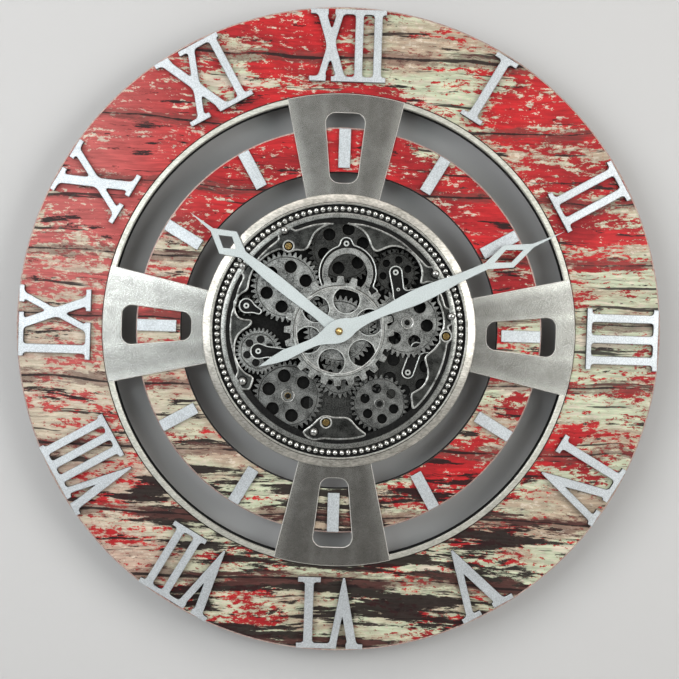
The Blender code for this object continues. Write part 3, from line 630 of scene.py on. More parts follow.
def printed_wood():
    """Old red planks as printed on the rings: red paint worn to a pale coat, dark cracks along the grain."""
    look = Look("printed_wood", 0.46, 0.0)
    look.dull(0.22)
    x, _, z = look.parts()
    swell = look.noise(5.0, (0.7, 1, 1), detail=3.0, shift=7.0)
    ripple = look.noise(28.0, (0.5, 1, 1), detail=4.0, shift=2.0)
    height = look.math("ADD", z, look.math("MULTIPLY", swell, 0.035))
    height = look.math("ADD", height, look.math("MULTIPLY", ripple, 0.006))
    grain = look.joined(x, 0.0, height)

    tone = look.noise(24.0, (0.35, 1, 1), detail=6.0, roughness=0.7, at=grain)
    red = look.mix(look.step(tone, 0.38, 0.62), RED_DARK, RED_BRIGHT)
    faded = look.math("MULTIPLY", look.step(x, -0.10, -0.26), look.step(z, -0.16, 0.02))
    red = look.mix(faded, red, RED_FADED)
    pale_tone = look.noise(22.0, (0.3, 1, 1), detail=6.0, roughness=0.66, shift=5.0, at=grain)
    pale = look.mix(look.step(pale_tone, 0.42, 0.55), PALE_BEIGE, PALE_MINT)
    pale = look.mix(look.step(pale_tone, 0.56, 0.64), pale, PALE_CREAM)
    pale = look.mix(look.step(x, -0.06, -0.22, 0.0, 0.5), pale, PALE_BLUSH)

    broad = look.noise(13.0, (0.5, 1, 1), detail=2.0, roughness=0.5, at=grain)
    streaks = look.noise(70.0, (0.22, 1, 1), detail=7.0, roughness=0.74, shift=3.0, at=grain)
    flakes = look.noise(260.0, (0.42, 1, 1), detail=4.0, roughness=0.75, shift=8.0, at=grain)
    worn = look.math("MULTIPLY_ADD", broad, 0.26, look.math("MULTIPLY", streaks, 0.44))
    worn = look.math("MULTIPLY_ADD", flakes, 0.30, worn)
    for patch_x, patch_z, radius, share in WEAR:
        node = look.nodes.new("ShaderNodeVectorMath")
        node.operation = "DISTANCE"
        look.feed(node.inputs[0], look.joined(x, 0.0, z))
        node.inputs[1].default_value = (patch_x * MM, 0.0, patch_z * MM)
        near = look.step(node.outputs["Value"], 0.25 * radius * MM, 1.25 * radius * MM, share, 0.0)
        worn = look.math("ADD", worn, near)
    colour = look.mix(look.step(worn, 0.488, 0.512), red, pale)

    rubbed = look.math("MULTIPLY_ADD", flakes, 0.6, look.math("MULTIPLY", streaks, 0.4))
    chips = look.math("MULTIPLY", look.step(rubbed, 0.545, 0.565), look.step(worn, 0.44, 0.48))
    colour = look.mix(look.math("MULTIPLY", chips, 0.85), colour, PALE_CREAM)
    rest = look.math("MULTIPLY", look.step(rubbed, 0.455, 0.435), look.step(worn, 0.48, 0.50, 0.0, 0.8))
    colour = look.mix(rest, colour, RUST)

    dirt = look.noise(120.0, (0.24, 1, 1), detail=7.0, roughness=0.78, shift=1.0, at=grain)
    dirt = look.math("MULTIPLY_ADD", look.step(z, -0.10, -0.26), 0.02, dirt)
    colour = look.mix(look.step(dirt, 0.585, 0.62, 0.0, 0.95), colour, CRACK)
    soot = look.noise(75.0, (0.12, 1, 1), detail=8.0, roughness=0.68, shift=9.0, at=grain)
    middle = look.step(look.math("ABSOLUTE", x), 0.24, 0.08, 0.35, 1.0)
    low = look.math("MULTIPLY", look.step(z, -0.05, -0.18), middle)
    soot = look.math("MULTIPLY_ADD", low, 0.125, soot)
    colour = look.mix(look.step(soot, 0.60, 0.622, 0.0, 0.97), colour, CRACK)
    cracks = look.noise(120.0, (0.045, 1, 1), detail=5.0, roughness=0.66, shift=4.0, at=grain)
    cracks = look.math("MULTIPLY_ADD", look.step(worn, 0.44, 0.52), 0.03, cracks)
    colour = look.mix(look.step(cracks, 0.615, 0.645, 0.0, 0.92), colour, CRACK)

    planks = look.math("FRACT", look.math("DIVIDE", height, PLANK))
    seam = look.math("ABSOLUTE", look.math("SUBTRACT", planks, 0.5))
    seam_width = look.noise(14.0, (1, 1, 0.2), detail=6.0, roughness=0.75, shift=6.0)
    grime = look.math("SUBTRACT", seam, look.math("MULTIPLY", look.math("SUBTRACT", dirt, 0.40), 0.75))
    colour = look.mix(look.step(grime, 0.025, -0.02, 0.0, 0.6), colour, GRIME)
    seam = look.math("SUBTRACT", seam, look.math("MULTIPLY", look.math("SUBTRACT", seam_width, 0.40), 0.10))
    colour = look.mix(look.step(seam, 0.010, -0.004, 0.0, 0.94), colour, CRACK)
    hair = look.noise(360.0, (0.10, 1, 1), detail=3.0, roughness=0.6, at=grain)
    colour = look.shaded(colour, look.step(hair, 0.3, 0.7, 0.72, 1.18))
    look.colour(colour)
    look.rough(look.step(tone, 0.3, 0.7, 0.52, 0.40))
    look.bump(worn, 0.00008)


def make_looks():
    printed_wood()
    fibre_board("board_back", (0.055, 0.033, 0.019), (0.125, 0.078, 0.046))
    fibre_board("board_edge", (0.010, 0.009, 0.009), (0.022, 0.019, 0.017))
    polished_metal("print_edge", (0.62, 0.42, 0.38), (0.80, 0.66, 0.60), 0.5)
    burnished_metal("spoke_face", (0.15, 0.143, 0.130), (0.76, 0.735, 0.69), 0.30)
    # painted highlight: the bright bevel round the spokes and their windows
    cast_metal("spoke_edge_highlight", (0.72, 0.70, 0.65), (0.95, 0.93, 0.88), 0.45, grain=1500.0, metallic=0.55)
    # painted shade: darker lines on the rim's bevels
    cast_metal("rim_shade_line", (0.20, 0.19, 0.17), (0.46, 0.45, 0.40), 0.40)
    brushed_metal("rim_face", (0.44, 0.43, 0.37), (0.72, 0.70, 0.63), 0.42)
    # painted shade: the rim's inner wall, black as it lies in shadow
    black_paint_and_shade("shade_wall", (0.003, 0.003, 0.003), (0.010, 0.010, 0.010))
    brushed_metal("bezel", (0.26, 0.25, 0.22), (0.63, 0.606, 0.55), 0.36)
    polished_metal("bead", (0.30, 0.30, 0.285), (0.60, 0.60, 0.57), 0.19)
    polished_metal("rivet", (0.28, 0.28, 0.27), (0.48, 0.48, 0.46), 0.28)
    # painted highlight: bright raised edges on the cocks, pins and centre wheel
    cast_metal("wire_highlight", (0.46, 0.47, 0.45), (0.96, 0.97, 0.94), 0.42)
    cast_metal("floor_metal", (0.008, 0.008, 0.008), (0.09, 0.09, 0.085), 0.5, grain=900.0, depth=0.0001)
    cast_metal("pewter", (0.008, 0.008, 0.007), (0.70, 0.70, 0.67), 0.40, mottle=0.45, depth_shade=0.3)
    # painted highlight: a bright copy of pewter for raised lines and bevel edges
    cast_metal("pewter_highlight_line", (0.40, 0.41, 0.39), (0.90, 0.91, 0.88), 0.42, depth_shade=0.4)
    # painted shade: a dark copy of pewter for the sides of wheels, plates and pins
    cast_metal("pewter_side_shade", (0.004, 0.004, 0.004), (0.035, 0.035, 0.033), 0.5, depth_shade=0.3)
    # painted shade: darker copies of pewter and its lines for the deeper wheels; their lines also carry painted
    # highlight
    cast_metal("deep_pewter_shade", (0.004, 0.004, 0.004), (0.085, 0.085, 0.08), 0.44)
    cast_metal("deep_line_shade_and_highlight", (0.05, 0.05, 0.047), (0.26, 0.26, 0.24), 0.42)
    cast_metal("border_face", (0.006, 0.006, 0.006), (0.13, 0.13, 0.122), 0.36, mottle=0.6)
    # painted highlight: the border plate's raised edge line
    cast_metal("border_highlight_line", (0.07, 0.07, 0.066), (0.62, 0.62, 0.59), 0.40, grain=500.0, mottle=0.6)
    cast_metal("band_face", (0.05, 0.05, 0.047), (0.50, 0.50, 0.47), 0.38)
    black_paint_and_shade("black_plate", (0.002, 0.002, 0.002), (0.012, 0.012, 0.011))
    # painted shade: near-black for recess floors, grooves, seats and the rings behind gaps
    black_paint_and_shade("recess_shade", (0.003, 0.003, 0.003), (0.016, 0.016, 0.015))
    sprayed_metal("hand_paint", (0.42, 0.463, 0.458), (0.55, 0.598, 0.598), 0.48, 0.15)
    # painted shade: a darker copy of the hand paint for the hands' sides
    sprayed_metal("hand_side_shade", (0.20, 0.22, 0.23), (0.32, 0.34, 0.36), 0.5, 0.3)
    sprayed_metal("numeral_paint", (0.42, 0.44, 0.455), (0.66, 0.69, 0.71), 0.46, 0.75)
    # painted highlight: a brighter copy of the numeral paint for the bevels
    sprayed_metal("numeral_edge_highlight", (0.42, 0.45, 0.47), (0.72, 0.75, 0.77), 0.46, 0.6)
    # painted shade: black sides of the numerals and markers, and the boards' inner front bevel
    sprayed_metal("numeral_side_shade", (0.006, 0.006, 0.006), (0.022, 0.02, 0.02), 0.6, 0.1)
    polished_metal("brass", (0.46, 0.30, 0.10), (0.84, 0.62, 0.28), 0.22)
    polished_metal("steel", (0.42, 0.42, 0.42), (0.60, 0.60, 0.60), 0.28)
    moulded_plastic("black_plastic", (0.022, 0.022, 0.023), (0.05, 0.05, 0.052), 0.42)
    moulded_plastic("inner_plastic", (0.042, 0.042, 0.044), (0.07, 0.07, 0.072), 0.5)
    moulded_plastic("cell_sleeve", (0.02, 0.16, 0.07), (0.05, 0.22, 0.11), 0.3)
    moulded_plastic("cell_band", (0.50, 0.38, 0.10), (0.60, 0.48, 0.18), 0.3)


# ------------------------------------------------------------------------------ boards and numerals

RING_SIDES = 256
RIM_RING = (214.2, 220.0)
HUB_RADIUS = 125.0
HUB_INNER = 112.6
SPOKE_FOOT = 118.0
SPOKE_THICK = 2.0
SPOKE_HALF = (35.0, 56.0)  # half a spoke's width at the bezel and at the rim
SPOKE_WINDOW = (137.5, 202.0)
WINDOW_HALF = (13.3, 18.2)  # half its window's width at the inner end and at the outer one
WINDOW_CORNER = 9.0
FLANGE_RADIUS = 236.0
FLANGE_SCREW_CIRCLE = 228.0
BEZEL_RADIUS = 127.0


def make_panels():
    """The two rings of printed board."""
    for node in ("outer_panel", "inner_panel"):
        back, front = layer(node)
        x, z = corners(node)
        inner, outer = float(np.hypot(x, z).min()), reach(node)
        piece = Piece(f"{node}_board")
        # The board's inner front bevel is black: painted shade.
        profile = [
            (inner + 0.5, back), (inner, back + 0.5), (inner, front - 0.4, "numeral_side_shade"),
            (inner + 0.5, front, "printed_wood"), (outer - 1.3, front, "print_edge"), (outer, front - 0.9),
            (outer, back + 0.5), (outer - 0.5, back, "board_back"),
        ]  # fmt: skip
        piece.turned(profile, RING_SIDES, "board_edge")
        piece.finish(node)


NUMERAL_FOOT = 230.5
NUMERAL_HEIGHT = 66.5
SLAB = 4.6
STEM = 7.5
POINT_HALF = 0.9  # half the width of a V's point
MARKER = (-5.5, 151.3, 5.5, 187.8)  # the hour bar at twelve, as x0, z0, x1, z1

# Each numeral's strokes as (x at the top, x at the foot, width), and its slabs as (x0, x1), along the dial.
NUMERALS = (
    (((0, 0, 8.4),), ((-11.3, 11.3),), ((-11.0, 11.0),)),
    (((-10.4, -10.4, 7.4), (10.4, 10.4, 7.4)), ((-20.3, 20.3),), ((-20.3, 20.3),)),
    (((-19.6, -19.6, STEM), (0, 0, STEM), (19.6, 19.6, STEM)), ((-28.5, 28.5),), ((-28.5, 28.5),)),
    (((-20.5, -20.5, 8.0), (-3.5, 12.5, 8.2), (25.5, 12.5, 6.8)),
     ((-30.5, 4.5), (15.0, 30.8)), ((-29.5, -11.2),)),
    (((-14.5, 4.2, 9.6), (19.0, 4.2, 7.0)), ((-26.2, -5.4), (7.4, 26.4)), ()),
    (((-22.0, -12.0, 8.6), (-2.5, -12.0, 6.8), (20.2, 20.2, 8.2)),
     ((-31.0, -15.6), (-5.0, 31.0)), ((9.6, 30.8),)),
    (((-27.5, -17.5, 8.6), (-8.0, -17.5, 6.6), (9.5, 9.5, 7.4), (27.5, 27.5, 7.4)),
     ((-36.8, -20.6), (-12.6, 36.0)), ((1.5, 36.8),)),
    (((-28.0, -20.5, 8.0), (-10.8, -20.5, 6.0), (0.8, 0.8, STEM), (15.5, 15.5, STEM), (30.3, 30.3, STEM)),
     ((-36.0, -24.5), (-18.5, 36.4)), ((-7.2, 36.4),)),
    (((-24.5, -24.5, 8.0), (-3.0, 21.5, 8.8), (26.5, -7.0, 6.6)), ((-32.0, 8.8), (18.2, 34.0)),
     ((-34.0, 0.6), (11.0, 31.2))),
    (((-17.2, 14.0, 9.4), (16.0, -16.4, 7.2)), ((-28.6, -5.2), (6.0, 24.8)), ((-26.2, -6.0), (3.0, 25.0))),
    (((-26.5, 6.0, 8.8), (3.4, -20.0, 6.8), (24.0, 24.0, 7.4)), ((-34.6, -20.0), (-9.6, 30.6)),
     ((-30.6, -10.2), (-0.6, 34.2))),
    (((-25.5, -5.0, 8.4), (-6.5, -25.0, 6.4), (10.3, 10.3, 7.4), (27.7, 27.7, 7.4)),
     ((-35.0, -18.8), (-12.2, 35.2)), ((-35.0, -19.8), (-14.8, 35.6))),
)  # fmt: skip


def point_field(x, z, left, right):
    """The two strokes of a V, whose outer edges meet in a point at the foot."""
    (left_top, foot, left_width), (right_top, _, right_width) = left, right
    share = z / NUMERAL_HEIGHT
    left_edge = foot - POINT_HALF + (left_top - left_width / 2 - foot + POINT_HALF) * share
    right_edge = foot + POINT_HALF + (right_top + right_width / 2 - foot - POINT_HALF) * share
    outside = np.maximum(left_edge - x, x - right_edge)
    return np.maximum(outside, np.minimum(x - left_edge - left_width, right_edge - right_width - x))


def numeral_field(number):
    """The field of a numeral that stands on z = 0, with fillets where strokes and slabs meet."""
    strokes, top_slabs, foot_slabs = NUMERALS[number - 1]
    upper = NUMERAL_HEIGHT
    points = [pair for pair in zip(strokes, strokes[1:]) if pair[0][1] == pair[1][1]]
    stems = [stroke for stroke in strokes if all(stroke not in pair for pair in points)]

    def field(x, z):
        parts = [point_field(x, z, left, right) for left, right in points]
        for top, foot, width in stems:
            lean = cos(atan2(top - foot, upper))
            half = width / 2 * (lean if abs(top - foot) > 1 else 1.0)
            parts.append(bar_field(x, z, (foot, 0.2), (top, upper - 0.2), half))
        for x0, x1 in top_slabs:
            parts.append(box_field(x, z, x0, upper - SLAB, x1, upper))
        for x0, x1 in foot_slabs:
            parts.append(box_field(x, z, x0, 0.0, x1, SLAB))
        return np.maximum(blend_all(parts, 3.2), box_field(x, z, -60, 0, 60, upper))

    return field


def make_numerals():
    """I to XII, each with its top outwards."""
    for number in range(1, 13):
        node = f"numeral_{number:02d}"
        back, front = layer(node)
        loops = trace(numeral_field(number), (-42, -3, 42, NUMERAL_HEIGHT + 3), 0.4, 0.05)
        loops = [rotated(moved(loop, (0, NUMERAL_FOOT)), -radians(30 * number)) for loop in loops]
        piece = Piece(f"{node}_face")
        piece.relief(loops, plate(back, front, "numeral_side_shade", "numeral_edge_highlight", 0.5), "numeral_paint")
        piece.finish(node)


def make_markers():
    for number in range(1, 13):
        node = f"marker_{number:02d}"
        back, front = layer(node)
        outline = rotated(rounded_box(*MARKER, 0.5, 2), -radians(30 * number))
        piece = Piece(f"{node}_face")
        piece.relief([outline], plate(back, front, "numeral_side_shade", "numeral_edge_highlight", 0.45), "numeral_paint")
        piece.finish(node)


# ----------------------------------------------------------------------------- frame and bezel


def spoke_half_width(along):
    """Half a spoke's width at a distance from the axis: it flares outwards."""
    narrow, wide = SPOKE_HALF
    return narrow + (wide - narrow) * (along - BEZEL_RADIUS) / (RIM_RING[1] - BEZEL_RADIUS)


def spoke_edge_angle(radius):
    """The angle from a spoke's middle line to its edge, on a circle."""
    along = radius
    for _ in range(20):
        along = sqrt(radius**2 - spoke_half_width(along) ** 2)
    return asin(spoke_half_width(along) / radius)


def spoke_window():
    """The window of the spoke that points along +X: a trapezoid with round corners."""
    inner, outer = SPOKE_WINDOW
    narrow, wide = WINDOW_HALF
    points = []
    ends = ((outer, wide, 1), (inner, narrow, 1), (inner, narrow, -1), (outer, wide, -1))
    for start, (end, half, side) in enumerate(ends):
        x = end - WINDOW_CORNER if end == outer else end + WINDOW_CORNER
        middle = (x, side * (half - WINDOW_CORNER))
        points += arc(WINDOW_CORNER, start * pi / 2, (start + 1) * pi / 2, 8, middle)
    return points


def make_spoke_frame():
    """Spoke plates over a deep rim ring, whose back flange carries the outer board."""
    back, front = layer("spoke_frame")
    foot = front - SPOKE_THICK
    inner, outer = RIM_RING
    piece = Piece("spoke_frame_metal")
    far, near = spoke_edge_angle(outer), spoke_edge_angle(SPOKE_FOOT)
    outline = arc(outer, -far, far, 24) + arc(SPOKE_FOOT, near, -near, 12)
    for quarter in range(4):
        turn = quarter * pi / 2
        outlines = [rotated(outline, turn), hole(rotated(spoke_window(), turn))]
        piece.relief(outlines, plate(foot, front, "pewter_side_shade", "spoke_edge_highlight", 0.6), "spoke_face")
    piece.sleeve(HUB_INNER, HUB_RADIUS, foot, front - 0.2, RING_SIDES, "pewter_side_shade")
    # The rim's bevels are painted darker as shade lines, and its inner wall black as painted shade.
    profile = [
        (outer, front - 0.7, "rim_shade_line"), (outer - 0.4, front - 0.35, "rim_face"),
        (inner + 1.3, front - 0.35, "rim_shade_line"), (inner + 0.9, front - 0.6, "rim_shade_line"),
        (inner + 0.2, front - 0.8, "rim_shade_line"), (inner, front - 1.1, "shade_wall"), (inner, back),
        (FLANGE_RADIUS - 0.5, back), (FLANGE_RADIUS, back + 0.5), (FLANGE_RADIUS, back + 2.3),
        (outer, back + 2.3),
    ]  # fmt: skip
    piece.turned(profile, RING_SIDES, "pewter_side_shade")
    for place in circle(FLANGE_SCREW_CIRCLE, 12, phase=radians(15)):
        piece.dome(place, 3.2, back, -1.4, "steel", 20, 3)
    piece.finish("spoke_frame")


BEADS = 116
BEAD_TRACK = 43.6
BEAD_CIRCLE = 113.6
BEAD_HALF = (3.15, 2.85)  # half a bead's size along the radius, and across it


def add_bead(piece, turn):
    """An oval bead in the bezel's track."""
    sides, steps, height = 12, 4, 2.5
    rings = []
    for k in range(steps):
        rise = pi / 2 * k / steps
        oval = [(BEAD_CIRCLE + BEAD_HALF[0] * x, BEAD_HALF[1] * z) for x, z in circle(cos(rise), sides)]
        rings.append(piece.ring(rotated(oval, turn), BEAD_TRACK - 0.2 + height * sin(rise)))
    top = piece.ring(rotated([(BEAD_CIRCLE, 0.0)], turn), BEAD_TRACK - 0.2 + height) * sides
    for a, b in zip(rings, rings[1:] + [top]):
        piece.strip(a, b, "bead")
    piece.mesh.faces.new(list(reversed(rings[0]))).material_index = piece.index("bead")


def make_bezel():
    """The sloped bright ring and the beads in the track inside it."""
    back, _ = layer("bezel_ring")
    inner = BEAD_CIRCLE - BEAD_HALF[0] - 0.3
    piece = Piece("bezel_ring_metal")
    # The track floor and a fine groove are painted black as shade, and the bevel lines bright as highlight.
    profile = [
        (BEZEL_RADIUS, back), (BEZEL_RADIUS, 44.4, "pewter_highlight_line"), (126.6, 45.1), (125.6, 45.6),
        (119.7, 46.62, "recess_shade"), (119.5, 46.3, "recess_shade"), (119.2, 46.7), (118.6, 46.8),
        (117.9, 46.6, "pewter_highlight_line"), (117.5, 46.1, "recess_shade"), (117.5, BEAD_TRACK, "recess_shade"),
        (inner, BEAD_TRACK, "pewter_side_shade"), (inner, back),
    ]  # fmt: skip
    piece.turned(profile, RING_SIDES, "bezel")
    for k in range(BEADS):
        add_bead(piece, 2 * pi * k / BEADS)
    piece.finish("bezel_ring")


# ----------------------------------------------------------------------------- plates and bridges

BORDER_RADIUS = 109.6
BORDER_BAND = 105.0  # the plain band outside the border's groove starts here
GROOVE = 101.6
RIVETS = ((-53.6, 91.8), (-91.3, 57.6), (-88.3, -49.4), (-20.5, -94.5), (88.1, 55.9), (104.0, 16.7))
SCREW_BOSSES = ((-49.2, 77.3), (99.8, -1.8), (-9.4, -85.6))
BOSS_RADIUS = 6.2
CENTRE_OPENING = 80.0
TOP_OPENING = 28.5
SCALLOPS = (
    ("upper_left_wheel", 34.6), ("upper_right_wheel", 24.0), ("right_wheel", 34.6),
    ("lower_right_wheel", 29.5), ("lower_left_wheel", 34.8), ("left_wheel", 23.4),
    ("far_left_pinion", 12.5), ("rear_wheel", 18.0),
)  # fmt: skip


def border_field(x, z):
    """Negative on the scalloped plate that frames the train, inside its groove."""
    openings = [disc_field(x, z, (0.0, 0.0), CENTRE_OPENING)]
    openings += [disc_field(x, z, axis(node), radius) for node, radius in SCALLOPS]
    top = axis("top_wheel")
    openings.append(disc_field(x, z, (top[0] - 3.0, top[1] - 3.0), TOP_OPENING))
    openings.append(disc_field(x, z, (84.0, 40.0), 8.0))
    away = np.hypot(x, z)
    scalloped = blend(-blend_all(openings, 7.0), np.maximum(98.4 - away, -z - 42.0), 6.0)
    lands = blend_all([disc_field(x, z, place, 7.5) for place in RIVETS], 3.0)
    inside = blend(away - GROOVE, lands, 6.0)
    bosses = [disc_field(x, z, place, BOSS_RADIUS) for place in SCREW_BOSSES]
    rounded = -blend(-scalloped, -inside, 7.0)
    return blend_all([np.maximum(rounded, away - BORDER_BAND - 1.0)] + bosses, 3.0)


def add_pin(piece, at, base, line="wire_highlight", core="pewter_side_shade", radius=2.7):
    """A wheel's pin: a washer round a sunk end, by default painted bright as highlight and dark as shade."""
    profile = [
        (0, base - 1.5), (radius, base - 1.5), (radius, base + 0.45), (radius - 0.4, base + 0.8),
        (0.5 * radius, base + 0.8), (0.42 * radius, base + 0.4, core), (0, base + 0.6),
    ]  # fmt: skip
    piece.turned(profile, 24, line, at)


SLOT_SHARE = 0.13  # a screw slot's width over the head's


def add_slotted_screw(piece, at, radius, base, height, look, turn):
    """A cheese head with a slot, made of two halves on a stem."""
    top = base + height
    start = asin(SLOT_SHARE)
    for side in (0, pi):
        outline = moved(rotated(arc(radius, start, pi - start, 14), turn + side), at)
        piece.block([outline], look, (0.0, base), (0.0, top - 0.35), (0.35, top))
    piece.sleeve(0, radius, base - 0.5, base + 0.5 * height, 28, look, at)


def make_border():
    """The scalloped plate, the plain band round it, and the groove between them, floored with painted shade."""
    back, front = layer("border_plate")
    half = BORDER_RADIUS + 2
    piece = Piece("border_plate_metal")
    loops = trace(border_field, (-half, -half, half, half), 0.5, 0.06)
    piece.relief(loops, lined(back, front, "pewter_side_shade", "border_highlight_line", 1.9, 0.7), "border_face")
    profile = [
        (BORDER_BAND, back), (BORDER_BAND, front - 0.4), (BORDER_BAND + 0.4, front + 0.1),
        (BORDER_RADIUS - 1.2, front + 0.25), (BORDER_RADIUS + 0.2, front - 0.3),
        (BORDER_RADIUS + 0.2, back),
    ]  # fmt: skip
    piece.turned(profile, RING_SIDES, "band_face")
    # painted shade: a black ring at the groove's floor
    piece.sleeve(GROOVE - 2.6, BORDER_BAND + 1.0, back, back + 0.3, RING_SIDES, "recess_shade")
    piece.finish("border_plate")


def make_rivets_and_screws():
    """The border's domed rivets and brass screws in raised rings, both on black seats of painted shade."""
    front = layer("border_plate")[1]
    rivets = Piece("border_rivets")
    seat = [(0, front - 1.2), (4.9, front - 1.2), (4.9, front - 0.5), (4.4, front - 0.2), (0, front - 0.2)]
    for place in RIVETS:
        rivets.turned(seat, 32, "recess_shade", place)
        rivets.dome(place, 3.8, front - 0.3, 3.0, "rivet", 28, 6)
    rivets.finish(body="case", slot="antique_silver")

    screws = Piece("brass_screws")
    ring = [
        (4.2, front - 1.0), (4.3, front + 0.3, "pewter_highlight_line"), (4.7, front + 0.6, "pewter_highlight_line"),
        (5.2, front + 0.6), (5.8, front + 0.2), (6.0, front - 1.0),
    ]  # fmt: skip
    for k, place in enumerate(SCREW_BOSSES):
        screws.turned(ring, 40, "pewter", place)
        screws.sleeve(0, 4.4, front - 1.2, front - 0.7, 40, "recess_shade", place)
        add_slotted_screw(screws, place, 3.1, front - 0.8, 1.3, "brass", 0.6 + k)
    screws.finish(body="case", slot="brass")


ARCH_CENTRE = (6.4, 53.8)
ARCH_FEET = ((-14.5, 33.5), (31.0, 37.0))
ARCH_BOSS = (ARCH_CENTRE[0] - 2.0, ARCH_CENTRE[1] + 27.5)
LEFT_COCK_FOOT = (-41.0, -23.0)
UPPER_RIGHT_COCK = ((55.0, 34.0), (84.0, 40.0))
REAR_COCK = ((73.0, -14.0), (94.0, -14.0))
FAR_LEFT_COCK_END = (-75.0, 16.0)


def arch_band_field(x, z, outer=23.6):
    """The arch's band out to a radius, which is that of its raised inner part unless it is given."""
    away = np.hypot(x - ARCH_CENTRE[0], z - ARCH_CENTRE[1])
    return np.maximum(np.maximum(away - outer, 18.2 - away), ARCH_CENTRE[1] - 16.0 - z)


def arch_field(x, z):
    """An open arch with a round boss on its crown and a foot at each end."""
    boss = disc_field(x, z, ARCH_BOSS, BOSS_RADIUS)
    feet = [disc_field(x, z, foot, 4.2) for foot in ARCH_FEET]
    return blend_all([arch_band_field(x, z, 27.0), boss] + feet, 3.0)


def left_cock_field(x, z):
    """Pear shaped: wide round the wheel's pin, narrow at its foot."""
    head = disc_field(x, z, axis("left_wheel"), 7.0)
    return blend(head, capsule_field(x, z, axis("left_wheel"), LEFT_COCK_FOOT, 6.0, 4.2), 4.0)


def bent_cock_field(node, elbow, foot, head, neck):
    """The field of a bent cock. Its finger narrows from the radius head, at a wheel's pin, to neck at its
    elbow, and a foot lies beyond."""

    def field(x, z):
        finger = capsule_field(x, z, axis(node), elbow, head, neck)
        return blend(finger, capsule_field(x, z, elbow, foot, 4.6, 4.2), 4.0)

    return field


def far_left_cock_field(x, z):
    head = disc_field(x, z, axis("far_left_pinion"), 6.9)
    return blend(head, capsule_field(x, z, axis("far_left_pinion"), FAR_LEFT_COCK_END, 5.4, 3.0), 3.0)


BACK_PLATE_THICK = 1.8


def make_floor_plate():
    """A rough plate on the back plate, seen between the two lower wheels."""
    base = layer("back_plate")[0] + BACK_PLATE_THICK
    piece = Piece("floor_plate")
    outline = rounded_box(-26.0, -100.0, 15.0, -50.0, 12.0, 6)
    piece.relief([outline], plate(base - 0.2, base + 0.3, "pewter_side_shade", "pewter_side_shade", 0.2), "floor_metal")
    piece.finish(body="case", slot="blackened_plate")


def make_bridges():
    """The arch and the cocks: plates with sunk faces of painted shade and a raised edge of painted highlight."""
    everywhere = (-110, -110, 110, 110)
    for node, field in (
        ("arch_bridge", arch_field),
        ("left_cock", left_cock_field),
        ("upper_right_cock", bent_cock_field("upper_right_wheel", *UPPER_RIGHT_COCK, 6.3, 5.4)),
        ("rear_cock", bent_cock_field("rear_wheel", *REAR_COCK, 6.0, 5.6)),
    ):
        back, front = layer(node)
        piece = Piece(f"{node}_metal")
        loops = trace(field, everywhere, 0.4, 0.04)
        piece.relief(loops, lined(back, front, "pewter_side_shade", "wire_highlight", 1.25, 0.8), "recess_shade")
        if node == "arch_bridge":
            band = trace(arch_band_field, everywhere, 0.4, 0.04)
            piece.relief(band, plate(front - 1.0, front + 0.1, "pewter_side_shade", "pewter_highlight_line", 0.4), "pewter")
        piece.finish(node)
    back, front = layer("left_cock")
    cock = Piece("far_left_cock")
    loops = trace(far_left_cock_field, everywhere, 0.4, 0.04)
    cock.relief(loops, lined(back, front, "pewter_side_shade", "wire_highlight", 1.25, 0.8), "recess_shade")
    cock.finish(body="case", slot="antique_silver")


def make_pins():
    """The ends of the posts that the wheels turn on, and the small screw on the arch."""
    bridge, low = layer("left_cock")[1], layer("rear_cock")[1]
    main, under = layer("right_wheel")[1], layer("lower_left_wheel")[1]
    pins = Piece("wheel_pins")
    for node in ("left_wheel", "upper_right_wheel", "far_left_pinion"):
        add_pin(pins, axis(node), bridge - 0.8)
    add_pin(pins, axis("rear_wheel"), low - 0.8)
    add_pin(pins, ARCH_BOSS, bridge - 0.6)
    for node, elbow, share, base in (
        ("upper_right_wheel", UPPER_RIGHT_COCK[0], 0.72, bridge), ("rear_wheel", REAR_COCK[0], 0.8, low),
    ):  # fmt: skip
        place = tuple(a + (b - a) * share for a, b in zip(axis(node), elbow))
        add_pin(pins, place, base - 0.8, radius=1.7)
    add_pin(pins, axis("upper_left_wheel"), main)
    add_pin(pins, axis("right_wheel"), main - 0.2, "pewter")
    add_pin(pins, axis("idler_wheel"), under, radius=2.2)
    add_pin(pins, axis("lower_right_wheel"), under + 0.3, "pewter", radius=2.4)
    add_pin(pins, axis("lower_left_wheel"), under + 0.4, "brass", "brass", radius=3.0)
    pins.finish(body="case", slot="antique_silver")


# -------------------------------------------------------------------------------------------- wheels

BORE_RADIUS = 2.9
BUSH_BORE = 6.9
TOOTH_DEPTH = 4.04


def toothed(teeth, tip, phase):
    """A train wheel's outline: tapered teeth with soft tips and round spaces."""
    root = tip - TOOTH_DEPTH
    half_pitch = pi * root / teeth
    side = ((root, half_pitch - 0.35), (root + 0.9, half_pitch - 0.75), (tip - 0.4, 0.8), (tip, 0.5))
    points = []
    for k in range(teeth):
        middle = phase + 2 * pi * k / teeth
        for radius, offset in [(r, -w) for r, w in side] + [(r, w) for r, w in reversed(side)]:
            points.append(polar(radius, middle + offset / radius))
    return points


def broad_toothed(teeth, tip, root, tip_share, root_share, phase):
    """A wheel's outline with broad teeth and flat lands between them, each with soft corners."""
    pitch = 2 * pi / teeth
    side = (
        (root, root_share / 2 + 0.03), (root + 0.5, root_share / 2), (tip - 0.4, tip_share / 2 + 0.01),
        (tip, tip_share / 2 - 0.03),
    )  # fmt: skip
    points = []
    for k in range(teeth):
        for radius, share in [(r, -s) for r, s in side] + [(r, s) for r, s in reversed(side)]:
            points.append(polar(radius, phase + (k + share) * pitch))
    return points


